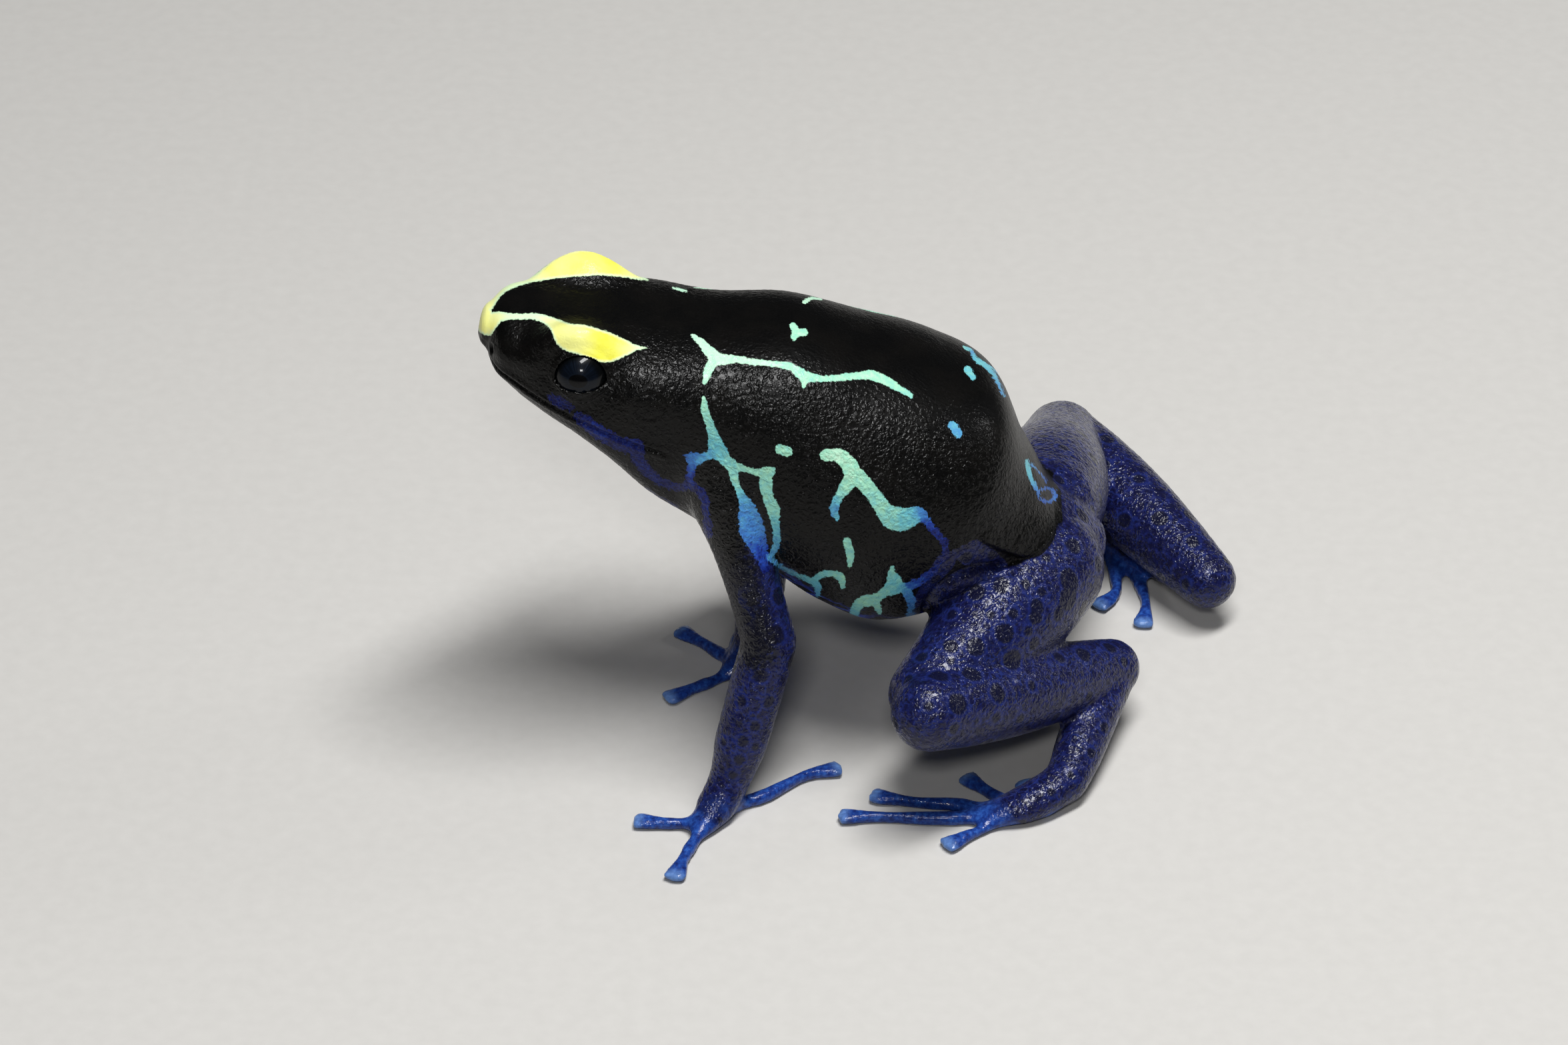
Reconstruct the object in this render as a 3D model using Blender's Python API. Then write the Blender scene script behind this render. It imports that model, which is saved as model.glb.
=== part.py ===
"""A dyeing poison dart frog standing on its four feet: a still, life-size museum model.

The frog faces -X and its left side faces -Y. Sizes below are millimetres; the scene is in metres.
The origin is on the floor, under the middle of the model's outline.
"""

import math

import bmesh
import bpy
import numpy as np
from mathutils import Matrix, Vector

MM = 0.001
GAP = 0.3  # clear space kept between two neighbouring pieces

LEFT, RIGHT = -1, 1

# The body in side view, snout to vent. Each station gives its centre (x, z), half width,
# reach above and below the centre, and squareness (2 is an ellipse, more is boxier).
BODY = [
    # x, z, half width, up, down, squareness
    (-24.85, 31.0, 1.8, 1.3, 1.2, 2.2),
    (-24.2, 30.9, 3.2, 1.9, 2.1, 2.3),
    (-22.6, 30.5, 4.5, 2.45, 3.1, 2.55),
    (-20.2, 29.9, 5.8, 2.9, 4.0, 2.8),
    (-17.4, 29.2, 6.7, 3.3, 5.1, 2.8),
    (-14.2, 28.2, 7.2, 3.8, 6.7, 2.65),
    (-10.8, 26.8, 7.1, 4.95, 8.45, 2.55),
    (-7.0, 25.0, 8.1, 6.9, 9.0, 2.45),
    (-2.6, 22.0, 9.7, 8.35, 9.2, 2.28),
    (1.6, 19.4, 10.3, 9.2, 10.0, 2.25),
    (5.2, 17.3, 9.8, 9.0, 9.9, 2.2),
    (8.6, 15.2, 7.7, 6.0, 7.4, 2.1),
    (11.8, 13.2, 5.7, 3.8, 4.6, 2.1),
    (14.8, 12.0, 3.9, 2.7, 3.0, 2.1),
    (16.6, 11.3, 2.3, 1.6, 1.6, 2.0),
]
SNOUT_CAP, VENT_CAP = 0.6, 0.7
LEAN = [(-26.0, 0.0), (-8.0, 0.0), (6.0, 1.0), (17.0, 2.2)]  # how far the spine drifts to +Y

NECK = (-11.2, 27.4)
NECK_TILT = 22  # degrees that the neck's cut leans back from upright
MOUTH = ((-25.0, 29.9), (-12.6, 25.0))  # the gape, from the snout's tip to the jaw's hinge
# A lip's half thickness, how far it lies from the gape, and how deep it is rooted.
LIP_RADIUS, LIP_OFFSET, LIP_DEPTH = 0.36, 0.26, 0.16
LIP_RUN_ON = 1.2  # how far a lip runs on past the hinge
LIP_END = 0.6  # how thin it is there, as a share of its middle

EYE_RADIUS = 2.0
EYE_CENTRE = (-18.4, 4.9, 30.3)
EYE_LOOK = (-0.18, 0.93, 0.24)
LID_THICKNESS = 0.38
LID_OUT = 0.4  # how far out along the ball the lids' rim lies, as a share of its radius
# The swelling of the upper eyelid: how far it reaches each way, how high, and which way it rises.
DOME = dict(centre=(-18.5, 4.7, 32.3), reach=(4.5, 3.0, 2.7), height=1.8, rise=(0, 0.35, 0.94))

NOSTRIL = (-24.5, 3.0, 30.7)
NOSTRIL_RADIUS = 0.3

EARDRUM = (-13.9, 7.1, 29.0)
EARDRUM_LOOK = (0, 1, 0.12)
EARDRUM_RADIUS, EARDRUM_RIM = 1.05, 0.2

# Limb joints and the half widths along each piece.
ARM = {
    LEFT: dict(shoulder=(-9.4, -4.8, 23.6), elbow=(-5.9, -10.3, 11.9), wrist=(-8.5, -13.1, 2.6)),
    RIGHT: dict(shoulder=(-9.4, 4.8, 23.6), elbow=(-6.0, 9.2, 12.2), wrist=(-6.9, 3.8, 2.6)),
}
UPPER_ARM_RADII = (3.1, 2.7, 2.1, 1.85, 1.95)
FOREARM_RADII = (1.9, 1.9, 1.85, 1.8, 1.55)

LEG = {
    LEFT: dict(hip=(13.2, -1.4, 11.7), knee=(4.9, -15.1, 9.5), heel=(17.8, -3.2, 4.45), ankle=(14.5, -12.4, 1.6)),
    RIGHT: dict(hip=(13.2, 5.4, 11.7), knee=(15.4, 22.8, 6.2), heel=(25.3, 8.6, 3.6), ankle=(21.4, 15.4, 1.6)),
}
THIGH_END = {LEFT: (4.9, -12.6, 9.2), RIGHT: (15.4, 22.8, 6.2)}  # a folded thigh ends behind the knee
THIGH_RADII = (4.1, 4.3, 4.0, 3.3, 2.75)
SHANK_RADII = (2.65, 2.95, 2.95, 2.6, 2.1)
TARSUS_RADII = (1.95, 1.85, 1.75, 1.6)

# Palms and soles: the points they run through, outward from the wrist or the ankle.
PALM = {
    LEFT: [(-8.5, -13.1, 2.6), (-9.6, -14.6, 1.05), (-10.5, -16.3, 0.6)],
    RIGHT: [(-6.9, 3.8, 2.6), (-7.6, 2.8, 1.05), (-8.7, 1.8, 0.6)],
}
PALM_WIDTHS, PALM_HEIGHTS = (1.55, 1.4, 1.0), (1.5, 1.2, 0.75)
SOLE = {
    LEFT: [(14.5, -12.4, 1.6), (11.6, -14.2, 1.05), (9.2, -14.9, 0.62)],
    RIGHT: [(21.4, 15.4, 1.6), (19.2, 17.0, 1.05), (16.9, 18.2, 0.62)],
}
SOLE_WIDTHS, SOLE_HEIGHTS = (1.6, 1.5, 1.25), (1.55, 1.2, 0.8)

# Each digit runs through these plan points, root to tip, and lies on the floor.
FINGERS = {
    LEFT: [
        [(-9.8, -14.8), (-9.8, -12.4), (-9.4, -9.8), (-8.6, -7.4)],
        [(-10.1, -15.4), (-12.4, -15.6), (-14.9, -15.2)],
        [(-10.4, -16.0), (-11.4, -18.6), (-12.3, -21.4)],
        [(-9.4, -14.7), (-8.0, -13.3), (-6.4, -12.6), (-4.9, -11.4), (-3.2, -10.1), (-1.2, -9.35)],
    ],
    RIGHT: [
        [(-7.6, 2.6), (-7.0, -0.6), (-6.6, -3.4)],
        [(-8.4, 1.8), (-10.6, 0.3), (-13.0, -1.2)],
        [(-8.2, 2.6), (-10.4, 5.0), (-12.3, 6.8)],
        [(-8.2, 2.6), (-8.3, 5.2), (-7.5, 7.8), (-6.4, 9.8)],
    ],
}
TOES = {
    LEFT: [
        [(13.0, -14.0), (12.4, -12.4), (11.6, -11.0)],
        [(11.2, -14.0), (9.4, -12.3), (7.7, -10.4)],
        [(10.0, -14.2), (7.0, -13.5), (4.0, -13.2), (1.3, -12.4)],
        [(9.8, -14.9), (6.0, -15.0), (2.4, -14.9), (-0.9, -14.7)],
        [(10.2, -15.0), (8.2, -16.5), (6.2, -17.9)],
    ],
    RIGHT: [
        [(20.0, 15.8), (20.8, 12.6), (21.1, 9.9), (20.8, 7.6)],
        [(18.8, 16.6), (19.1, 13.4), (18.9, 11.2), (17.7, 9.9)],
        [(17.6, 17.4), (14.2, 16.4), (11.2, 15.6)],
        [(17.4, 18.0), (13.4, 18.9), (10.4, 19.2), (7.2, 19.4)],
        [(17.8, 18.2), (15.4, 20.7), (12.8, 22.2)],
    ],
}
DIGIT_RADIUS, DIGIT_HEIGHT = 0.49, 0.37  # the height is that of a digit's middle over the floor
DIGIT_ROOT, DIGIT_NECK = 1.15, 0.86  # how thick it is at its root and behind the disc, as shares
DISC_HALF_WIDTH, DISC_HALF_HEIGHT, DISC_LENGTH = 0.82, 0.36, 1.7
DISC_MIDDLE = 0.45  # how far back from the tip, as a share of its length, the disc is as wide as it is there
DISC_FLARE = 0.83  # its width there, as a share of its width at the blunt tip
SIDE_BY_SIDE = 0.6  # two digits closer in direction than this cosine are cut apart at their roots

# How finely each kind of piece is faceted: the sides of a ring, and the step between rings.
TRUNK_RINGS, TRUNK_SIDES = 42, 32
HEAD_RINGS, HEAD_SIDES = 66, 36
LIMB_STEP, LIMB_SIDES = 1.9, 14
PAD_STEP, PAD_SIDES = 1.1, 12
DIGIT_STEP, DIGIT_SIDES = 1.05, 8
LIP_STEP, LIP_SIDES = 1.2, 7
CAP_RINGS = 3  # rings in a rounded end
CAP_REACH = 0.93  # how near its tip the first of them is
SHARP_ANGLE = 40  # degrees between two faces that make a crease

COLOURS = {
    "black_skin": (0.008, 0.008, 0.010),
    "blue_skin": (0.018, 0.024, 0.160),
    "bright_blue_skin": (0.035, 0.110, 0.420),
    "eye": (0.004, 0.005, 0.008),
}


def spline(knots, values, at):
    """Values read from a smooth cubic through the knots."""
    knots = np.asarray(knots, float)
    values = np.asarray(values, float)
    slopes = np.gradient(values, knots, axis=0)
    i = np.clip(np.searchsorted(knots, at) - 1, 0, len(knots) - 2)
    width = knots[i + 1] - knots[i]
    t = (at - knots[i]) / width
    if values.ndim > 1:
        t, width = t[:, None], width[:, None]
    return (
        (2 * t**3 - 3 * t**2 + 1) * values[i]
        + (t**3 - 2 * t**2 + t) * width * slopes[i]
        + (3 * t**2 - 2 * t**3) * values[i + 1]
        + (t**3 - t**2) * width * slopes[i + 1]
    )


def ring(centre, side, up, half_width, above, below, squareness, count):
    """One closed cross-section, starting at the top and running towards +side."""
    angles = np.linspace(0, 2 * math.pi, count, endpoint=False)
    power = 2 / squareness
    across = np.sign(np.sin(angles)) * np.abs(np.sin(angles)) ** power * half_width
    height = np.sign(np.cos(angles)) * np.abs(np.cos(angles)) ** power
    height = np.where(height > 0, height * above, height * below)
    return centre + np.outer(across, side) + np.outer(height, up)


def loft(name, rings, colour):
    """A closed skin over a row of rings, drawn to a point at each end."""
    mesh = bmesh.new()
    rows = [[mesh.verts.new(Vector(point) * MM) for point in points] for points in rings]
    count = len(rows[0])
    for low, high in zip(rows, rows[1:]):
        for i in range(count):
            j = (i + 1) % count
            mesh.faces.new((low[i], low[j], high[j], high[i]))
    for row, points in ((rows[0], rings[0]), (rows[-1], rings[-1])):
        tip = mesh.verts.new(Vector(np.mean(points, axis=0)) * MM)
        for i in range(count):
            mesh.faces.new((row[i], row[(i + 1) % count], tip))
    bmesh.ops.recalc_face_normals(mesh, faces=mesh.faces)
    return object_of(name, mesh, colour)


def object_of(name, mesh, colour):
    data = bpy.data.meshes.new(name)
    mesh.to_mesh(data)
    mesh.free()
    data.shade_smooth()
    data.materials.append(material(colour))
    made = bpy.data.objects.new(name, data)
    bpy.context.scene.collection.objects.link(made)
    return made


def material(name):
    found = bpy.data.materials.get(name)
    if found:
        return found
    made = bpy.data.materials.new(name)
    made.use_nodes = True
    shader = made.node_tree.nodes["Principled BSDF"]
    shader.inputs["Base Color"].default_value = (*COLOURS[name], 1)
    shader.inputs["Roughness"].default_value = 0.12 if name == "eye" else 0.38
    return made


def cap_rings(depth):
    """How far along, and how narrow, each ring of a rounded end is."""
    angles = np.linspace(math.pi / 2, 0, CAP_RINGS + 1)[:-1] * CAP_REACH
    return [(depth * math.sin(a), math.cos(a)) for a in angles]


def tube_rings(points, widths, heights, level, step, sides, swell=0.0):
    """Rings along a bent limb with rounded ends. Each ring's up is the way nearest to level."""
    points = np.asarray(points, float)
    gaps = np.linalg.norm(np.diff(points, axis=0), axis=1)
    knots = np.concatenate([[0], np.cumsum(gaps)])
    length = knots[-1]
    count = max(3, round(length / step) + 1)
    at = np.linspace(0, length, count)
    centres = spline(knots, points, at)
    tangents = np.gradient(centres, at, axis=0)
    tangents /= np.linalg.norm(tangents, axis=1)[:, None]
    share = np.linspace(0, length, len(widths))
    half_widths = spline(share, widths, at) + swell
    half_heights = spline(share, heights, at) + swell
    rings = []

    def add(centre, tangent, width, height):
        side = np.cross(tangent, level)
        side /= np.linalg.norm(side)
        up = np.cross(side, tangent)
        rings.append(ring(centre, side, up, width, height, height, 2.0, sides))

    for out, narrow in cap_rings(min(half_widths[0], half_heights[0])):
        add(centres[0] - tangents[0] * out, tangents[0], half_widths[0] * narrow, half_heights[0] * narrow)
    for row in zip(centres, tangents, half_widths, half_heights):
        add(*row)
    for out, narrow in reversed(cap_rings(min(half_widths[-1], half_heights[-1]))):
        add(centres[-1] + tangents[-1] * out, tangents[-1], half_widths[-1] * narrow, half_heights[-1] * narrow)
    return rings


def body_rings(swell=0.0, count=TRUNK_RINGS, sides=TRUNK_SIDES):
    """The head and trunk as one row of rings, square to the spine."""
    table = np.asarray(BODY, float)
    centres = table[:, :2]
    knots = np.concatenate([[0], np.cumsum(np.linalg.norm(np.diff(centres, axis=0), axis=1))])
    at = np.linspace(0, knots[-1], count)
    x, z, half_width, above, below, squareness = spline(knots, table, at).T
    lean_x, lean_y = zip(*LEAN)
    y = spline(lean_x, lean_y, np.clip(x, lean_x[0], lean_x[-1]))
    centres = np.stack([x, y, z], axis=1)
    tangents = np.gradient(centres, at, axis=0)
    tangents /= np.linalg.norm(tangents, axis=1)[:, None]
    rows = list(zip(centres, tangents, half_width, above, below, squareness))
    rings = []

    def add(centre, tangent, width, up_reach, down_reach, square, narrow=1.0):
        side = np.cross(tangent, (0, 0, 1))
        side /= np.linalg.norm(side)
        up = np.cross(side, tangent)
        reaches = [(reach + swell) * narrow for reach in (width, up_reach, down_reach)]
        rings.append(ring(centre, side, up, *reaches, square, sides))

    for out, narrow in cap_rings(SNOUT_CAP + swell):
        centre, tangent, *shape = rows[0]
        add(centre - tangent * out, tangent, *shape, narrow)
    for row in rows:
        add(*row)
    for out, narrow in reversed(cap_rings(VENT_CAP + swell)):
        centre, tangent, *shape = rows[-1]
        add(centre + tangent * out, tangent, *shape, narrow)
    for side in (LEFT, RIGHT):
        raise_dome(rings, side)
    return rings


def raise_dome(rings, side):
    """Lifts the upper eyelid out of the head."""
    centre = np.array(DOME["centre"]) * (1, side, 1)
    reach = np.array(DOME["reach"])
    lift = np.array(DOME["rise"]) * (1, side, 1) * DOME["height"]
    for points in rings:
        away = np.linalg.norm((points - centre) / reach, axis=1)
        points += np.outer(np.clip(1 - away**2, 0, 1) ** 2, lift)


def keep_side(made, point, normal):
    """Cuts the piece flat, half a gap short of a plane, and keeps what the normal points to."""
    mesh = bmesh.new()
    mesh.from_mesh(made.data)
    normal = Vector(normal).normalized()
    point = Vector(point) * MM + normal * (GAP / 2 * MM)
    geometry = mesh.verts[:] + mesh.edges[:] + mesh.faces[:]
    cut = bmesh.ops.bisect_plane(mesh, geom=geometry, plane_co=point, plane_no=normal, clear_inner=True)
    rim = [item for item in cut["geom_cut"] if isinstance(item, bmesh.types.BMEdge)]
    if rim:
        bmesh.ops.holes_fill(mesh, edges=rim)
        bmesh.ops.recalc_face_normals(mesh, faces=mesh.faces)
        mesh.to_mesh(made.data)
    mesh.free()


def combine(made, others, operation="DIFFERENCE"):
    """Cuts the other solids out of the piece, or joins them to it, and removes them."""
    group = bpy.data.collections.new("others")
    for other in others:
        group.objects.link(other)
    modifier = made.modifiers.new("combine", "BOOLEAN")
    modifier.operation = operation
    modifier.operand_type = "COLLECTION"
    modifier.collection = group
    graph = bpy.context.evaluated_depsgraph_get()
    finished = bpy.data.meshes.new_from_object(made.evaluated_get(graph))
    made.modifiers.clear()
    made.data = finished
    made.data.set_sharp_from_angle(angle=math.radians(SHARP_ANGLE))
    for other in others:
        bpy.data.objects.remove(other)
    bpy.data.collections.remove(group)
    keep_largest(made)


def keep_largest(made):
    """Keeps the biggest closed surface of a piece and drops any scrap that a cut leaves."""
    mesh = bmesh.new()
    mesh.from_mesh(made.data)
    unseen = set(mesh.verts)
    islands = []
    while unseen:
        edge = [unseen.pop()]
        island = set(edge)
        while edge:
            vertex = edge.pop()
            for link in vertex.link_edges:
                other = link.other_vert(vertex)
                if other in unseen:
                    unseen.discard(other)
                    island.add(other)
                    edge.append(other)
        islands.append(island)
    for island in sorted(islands, key=len)[:-1]:
        bmesh.ops.delete(mesh, geom=list(island), context="VERTS")
    mesh.to_mesh(made.data)
    mesh.free()


def rest_on_floor(rings):
    """Presses the underside into a small flat at floor level."""
    for points in rings:
        points[:, 2] = np.maximum(points[:, 2], 0)
    return rings


def side_name(side):
    return "left" if side == LEFT else "right"


def mirrored(values, side):
    """A point or direction given for the +Y side, moved to the side wanted."""
    x, y, z = values
    return Vector((x, y * side, z))


def torus(name, centre, axis, radius, thickness, columns, sides):
    """A round rim of skin."""
    turn = Vector(axis).to_track_quat("Z", "Y").to_matrix()
    mesh = bmesh.new()
    rows = []
    for a in np.linspace(0, 2 * math.pi, columns, endpoint=False):
        row = []
        for b in np.linspace(0, 2 * math.pi, sides, endpoint=False):
            away = radius + thickness * math.cos(b)
            point = Vector((away * math.cos(a), away * math.sin(a), thickness * math.sin(b)))
            row.append(mesh.verts.new((turn @ point + Vector(centre)) * MM))
        rows.append(row)
    for low, high in zip(rows, rows[1:] + rows[:1]):
        for i in range(sides):
            mesh.faces.new((low[i], high[i], high[(i + 1) % sides], low[(i + 1) % sides]))
    bmesh.ops.recalc_face_normals(mesh, faces=mesh.faces)
    return object_of(name, mesh, "black_skin")


def sphere(name, centre, radius, colour, columns, rows):
    mesh = bmesh.new()
    bmesh.ops.create_uvsphere(mesh, u_segments=columns, v_segments=rows, radius=radius * MM)
    bmesh.ops.translate(mesh, verts=mesh.verts, vec=Vector(centre) * MM)
    return object_of(name, mesh, colour)


def gape_normal():
    (front_x, front_z), (back_x, back_z) = MOUTH
    return np.array([front_z - back_z, 0, back_x - front_x]) / math.hypot(front_z - back_z, back_x - front_x)


def lip(name, rings, direction):
    """A ridge of skin along one edge of the gape, from hinge to hinge round the snout."""
    front = np.array([MOUTH[0][0], 0, MOUTH[0][1]])
    up = gape_normal()
    crossings = {LEFT: [], RIGHT: []}
    for points in rings:
        height = (points - front) @ up
        for i, j in zip(range(len(points)), np.roll(np.arange(len(points)), -1)):
            if height[i] * height[j] < 0:
                share = height[i] / (height[i] - height[j])
                crossing = points[i] + share * (points[j] - points[i])
                crossings[RIGHT if crossing[1] > 0 else LEFT].append(crossing)
    path = [*reversed(crossings[LEFT]), *crossings[RIGHT]]
    path = np.array([point for point in path if point[0] < MOUTH[1][0] + LIP_RUN_ON])
    inward = np.mean(path, axis=0) - path
    inward /= np.linalg.norm(inward, axis=1)[:, None]
    path = path + up * direction * LIP_OFFSET + inward * LIP_DEPTH
    widths = LIP_RADIUS * np.array([LIP_END, 1, 1, 1, LIP_END])
    return loft(name, tube_rings(path, widths, widths, up, LIP_STEP, LIP_SIDES), "black_skin")


def build_head_and_trunk():
    fine = body_rings(count=HEAD_RINGS, sides=HEAD_SIDES)
    fine = [points for points in fine if points[:, 0].mean() < NECK[0] + 3]
    trunk = loft("trunk", body_rings(), "black_skin")
    head = loft("head", fine, "black_skin")
    jaw = loft("lower_jaw", fine, "black_skin")
    combine(jaw, [lip("lip", fine, -1)], "UNION")
    additions, cutters = [lip("lip", fine, 1)], []
    for side in (LEFT, RIGHT):
        centre, look = mirrored(EYE_CENTRE, side), mirrored(EYE_LOOK, side).normalized()
        across = math.sqrt((EYE_RADIUS + GAP) ** 2 - (LID_OUT * EYE_RADIUS) ** 2) + LID_THICKNESS / 3
        rim_centre = centre + look * (LID_OUT * EYE_RADIUS)
        additions.append(torus("lids", rim_centre, look, across, LID_THICKNESS, 24, 7))
        ear, outward = mirrored(EARDRUM, side), mirrored(EARDRUM_LOOK, side)
        additions.append(torus("eardrum", ear, outward, EARDRUM_RADIUS, EARDRUM_RIM, 12, 5))
        cutters.append(sphere("socket", centre, EYE_RADIUS + GAP, "eye", 20, 14))
        cutters.append(sphere("nostril", mirrored(NOSTRIL, side), NOSTRIL_RADIUS, "eye", 8, 5))
        sphere(f"eye_{side_name(side)}", centre, EYE_RADIUS, "eye", 16, 11)
    combine(head, additions, "UNION")
    combine(head, cutters)
    neck = (NECK[0], 0, NECK[1])
    forward = (-math.cos(math.radians(NECK_TILT)), 0, math.sin(math.radians(NECK_TILT)))
    keep_side(trunk, neck, -Vector(forward))
    for piece, direction in ((head, 1), (jaw, -1)):
        keep_side(piece, neck, forward)
        keep_side(piece, (MOUTH[0][0], 0, MOUTH[0][1]), gape_normal() * direction)
        keep_largest(piece)


def bend_plane(before, joint, after):
    """The normal of the plane that halves a bend, pointing back to the first piece."""
    before, joint, after = (Vector(p) for p in (before, joint, after))
    return ((before - joint).normalized() - (after - joint).normalized()).normalized()


def build_limb(names, joints, radii, level, first_end=None):
    """Round-ended pieces along a chain of joints, cut apart on the plane that halves each bend."""
    cuts = list(joints)
    if first_end is not None:
        cuts[1] = tuple((np.array(joints[1]) + first_end) / 2)
    for i, (name, widths) in enumerate(zip(names, radii)):
        ends = list(joints[i : i + 2])
        if i == 0 and first_end is not None:
            ends[1] = first_end
        rings = tube_rings(ends, widths, widths, level, LIMB_STEP, LIMB_SIDES)
        piece = loft(name, rest_on_floor(rings), "blue_skin")
        if i > 0:
            keep_side(piece, cuts[i], -bend_plane(*cuts[i - 1 : i + 2]))
        if i + 2 < len(joints):
            keep_side(piece, cuts[i + 1], bend_plane(*cuts[i : i + 3]))


def build_digit(name, plan):
    """A finger or toe, with the widened, blunt disc at its tip."""
    points = [(x, y, DIGIT_HEIGHT) for x, y in plan]
    length = np.linalg.norm(np.diff(np.array(points), axis=0), axis=1).sum()
    neck = 1 - DISC_LENGTH / length
    shares = [0, neck / 2, neck, 1 - DISC_MIDDLE * DISC_LENGTH / length, 1]
    root, narrow = DIGIT_RADIUS * DIGIT_ROOT, DIGIT_RADIUS * DIGIT_NECK
    widths = [root, DIGIT_RADIUS, narrow, DISC_HALF_WIDTH * DISC_FLARE, DISC_HALF_WIDTH]
    heights = [root, DIGIT_RADIUS, narrow, DISC_HALF_HEIGHT, DISC_HALF_HEIGHT * 0.85]
    at = np.linspace(0, 1, 11)
    widths, heights = spline(shares, widths, at), spline(shares, heights, at)
    rings = tube_rings(points, widths, heights, (0, 0, 1), DIGIT_STEP, DIGIT_SIDES)
    return loft(name, rest_on_floor(rings), "bright_blue_skin")


def build_pad(name, points, widths, heights, swell=0.0):
    """A palm or a sole. Swollen, it is the cutter that trims what grows from it."""
    rings = tube_rings(points, widths, heights, (0, 0, 1), PAD_STEP, PAD_SIDES, swell)
    return loft(name, rings if swell else rest_on_floor(rings), "blue_skin")


def part_neighbours(digits, plans):
    """Cuts two digits apart where they leave the pad side by side."""
    for first, second, one, other in zip(digits, digits[1:], plans, plans[1:]):
        one, other = np.array(one), np.array(other)
        ways = [(plan[1] - plan[0]) / np.linalg.norm(plan[1] - plan[0]) for plan in (one, other)]
        if ways[0] @ ways[1] < SIDE_BY_SIDE:
            continue
        between = (one[0] + other[0]) / 2
        middle = ways[0] + ways[1]
        normal = np.array([middle[1], -middle[0], 0])
        if normal[:2] @ (one[1] - between) < 0:
            normal = -normal
        keep_side(first, (*between, 0), normal)
        keep_side(second, (*between, 0), -normal)


def build_extremity(side, pad_name, pads, widths, heights, before, digit_name, plans):
    """A palm or sole with its digits, each trimmed a gap short of the pad."""
    where = side_name(side)
    pad = build_pad(f"{pad_name}_{where}", pads[side], widths, heights)
    keep_side(pad, pads[side][0], -bend_plane(before, *pads[side][:2]))
    digits = [build_digit(f"{digit_name}_{i}_{where}", plan) for i, plan in enumerate(plans[side], 1)]
    part_neighbours(digits, plans[side])
    for digit in digits:
        combine(digit, [build_pad("cutter", pads[side], widths, heights, GAP)])


def build_arm(side):
    where, arm = side_name(side), ARM[side]
    names = [f"upper_arm_{where}", f"forearm_{where}"]
    joints = [arm["shoulder"], arm["elbow"], arm["wrist"], PALM[side][1]]
    build_limb(names, joints, [UPPER_ARM_RADII, FOREARM_RADII], (0, 1, 0))
    combine(bpy.data.objects[names[0]], [body_cutter()])
    build_extremity(side, "palm", PALM, PALM_WIDTHS, PALM_HEIGHTS, arm["elbow"], "finger", FINGERS)


def build_leg(side):
    where, leg = side_name(side), LEG[side]
    names = [f"thigh_{where}", f"shank_{where}", f"tarsus_{where}"]
    joints = [leg["hip"], leg["knee"], leg["heel"], leg["ankle"], SOLE[side][1]]
    build_limb(names, joints, [THIGH_RADII, SHANK_RADII, TARSUS_RADII], (0, 0, 1), THIGH_END[side])
    combine(bpy.data.objects[names[0]], [body_cutter()])
    build_extremity(side, "sole", SOLE, SOLE_WIDTHS, SOLE_HEIGHTS, leg["heel"], "toe", TOES)


def body_cutter():
    return loft("body_cutter", body_rings(GAP), "black_skin")


def centre_on_origin():
    """Moves everything so that the origin is on the floor, under the middle of the outline."""
    corners = [Vector(corner) for made in bpy.data.objects for corner in made.bound_box]
    middle = [(min(c[i] for c in corners) + max(c[i] for c in corners)) / 2 for i in (0, 1)]
    for made in bpy.data.objects:
        made.data.transform(Matrix.Translation((-middle[0], -middle[1], 0)))


def main():
    for old in list(bpy.data.objects):
        bpy.data.objects.remove(old)
    build_head_and_trunk()
    for side in (LEFT, RIGHT):
        build_arm(side)
        build_leg(side)
    centre_on_origin()


main()
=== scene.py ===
"""The looks of a dyeing poison dart frog, as a museum's life-size model: one moist, granular skin and two eyes.

Shapes are worked out in millimetres, in the plan that the frog was measured in, and moved into the
frame at the end. The frog faces -X and its left side faces -Y.
"""

import math

import bpy
import numpy as np
from mathutils import Matrix, Vector, noise
from mathutils.bvhtree import BVHTree
from mathutils.kdtree import KDTree


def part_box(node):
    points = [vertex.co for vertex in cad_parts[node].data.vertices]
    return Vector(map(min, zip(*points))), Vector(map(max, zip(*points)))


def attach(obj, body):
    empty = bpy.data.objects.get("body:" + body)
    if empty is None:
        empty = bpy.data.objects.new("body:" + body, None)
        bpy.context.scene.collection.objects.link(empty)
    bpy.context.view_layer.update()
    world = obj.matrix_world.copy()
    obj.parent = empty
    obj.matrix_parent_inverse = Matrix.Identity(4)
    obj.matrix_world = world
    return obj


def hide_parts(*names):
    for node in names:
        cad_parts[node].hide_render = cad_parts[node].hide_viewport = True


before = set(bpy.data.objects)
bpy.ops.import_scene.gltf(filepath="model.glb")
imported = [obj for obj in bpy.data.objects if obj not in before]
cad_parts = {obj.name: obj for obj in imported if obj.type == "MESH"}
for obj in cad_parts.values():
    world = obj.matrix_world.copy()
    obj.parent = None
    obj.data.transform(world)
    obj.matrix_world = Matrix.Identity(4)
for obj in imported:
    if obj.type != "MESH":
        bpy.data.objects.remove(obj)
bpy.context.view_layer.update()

# The camera
# The frog is seen from its left with a long lens, from about 35 degrees above the floor.
# It comes first because the markings of the skin are laid out in this view.
MM = 0.001
PHOTO_WIDTH, PHOTO_HEIGHT = 2352, 1568
LENS, SENSOR_WIDTH = 133.0, 36.0
CAMERA_ELEVATION = math.radians(35)
CAMERA_DISTANCE = 400.0
CAMERA_AIM = (-4.9, 0.0, 14.6)
EYE_CENTRE = (-18.4, 4.9, 30.3)  # the right eye's; the left one mirrors it

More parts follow.
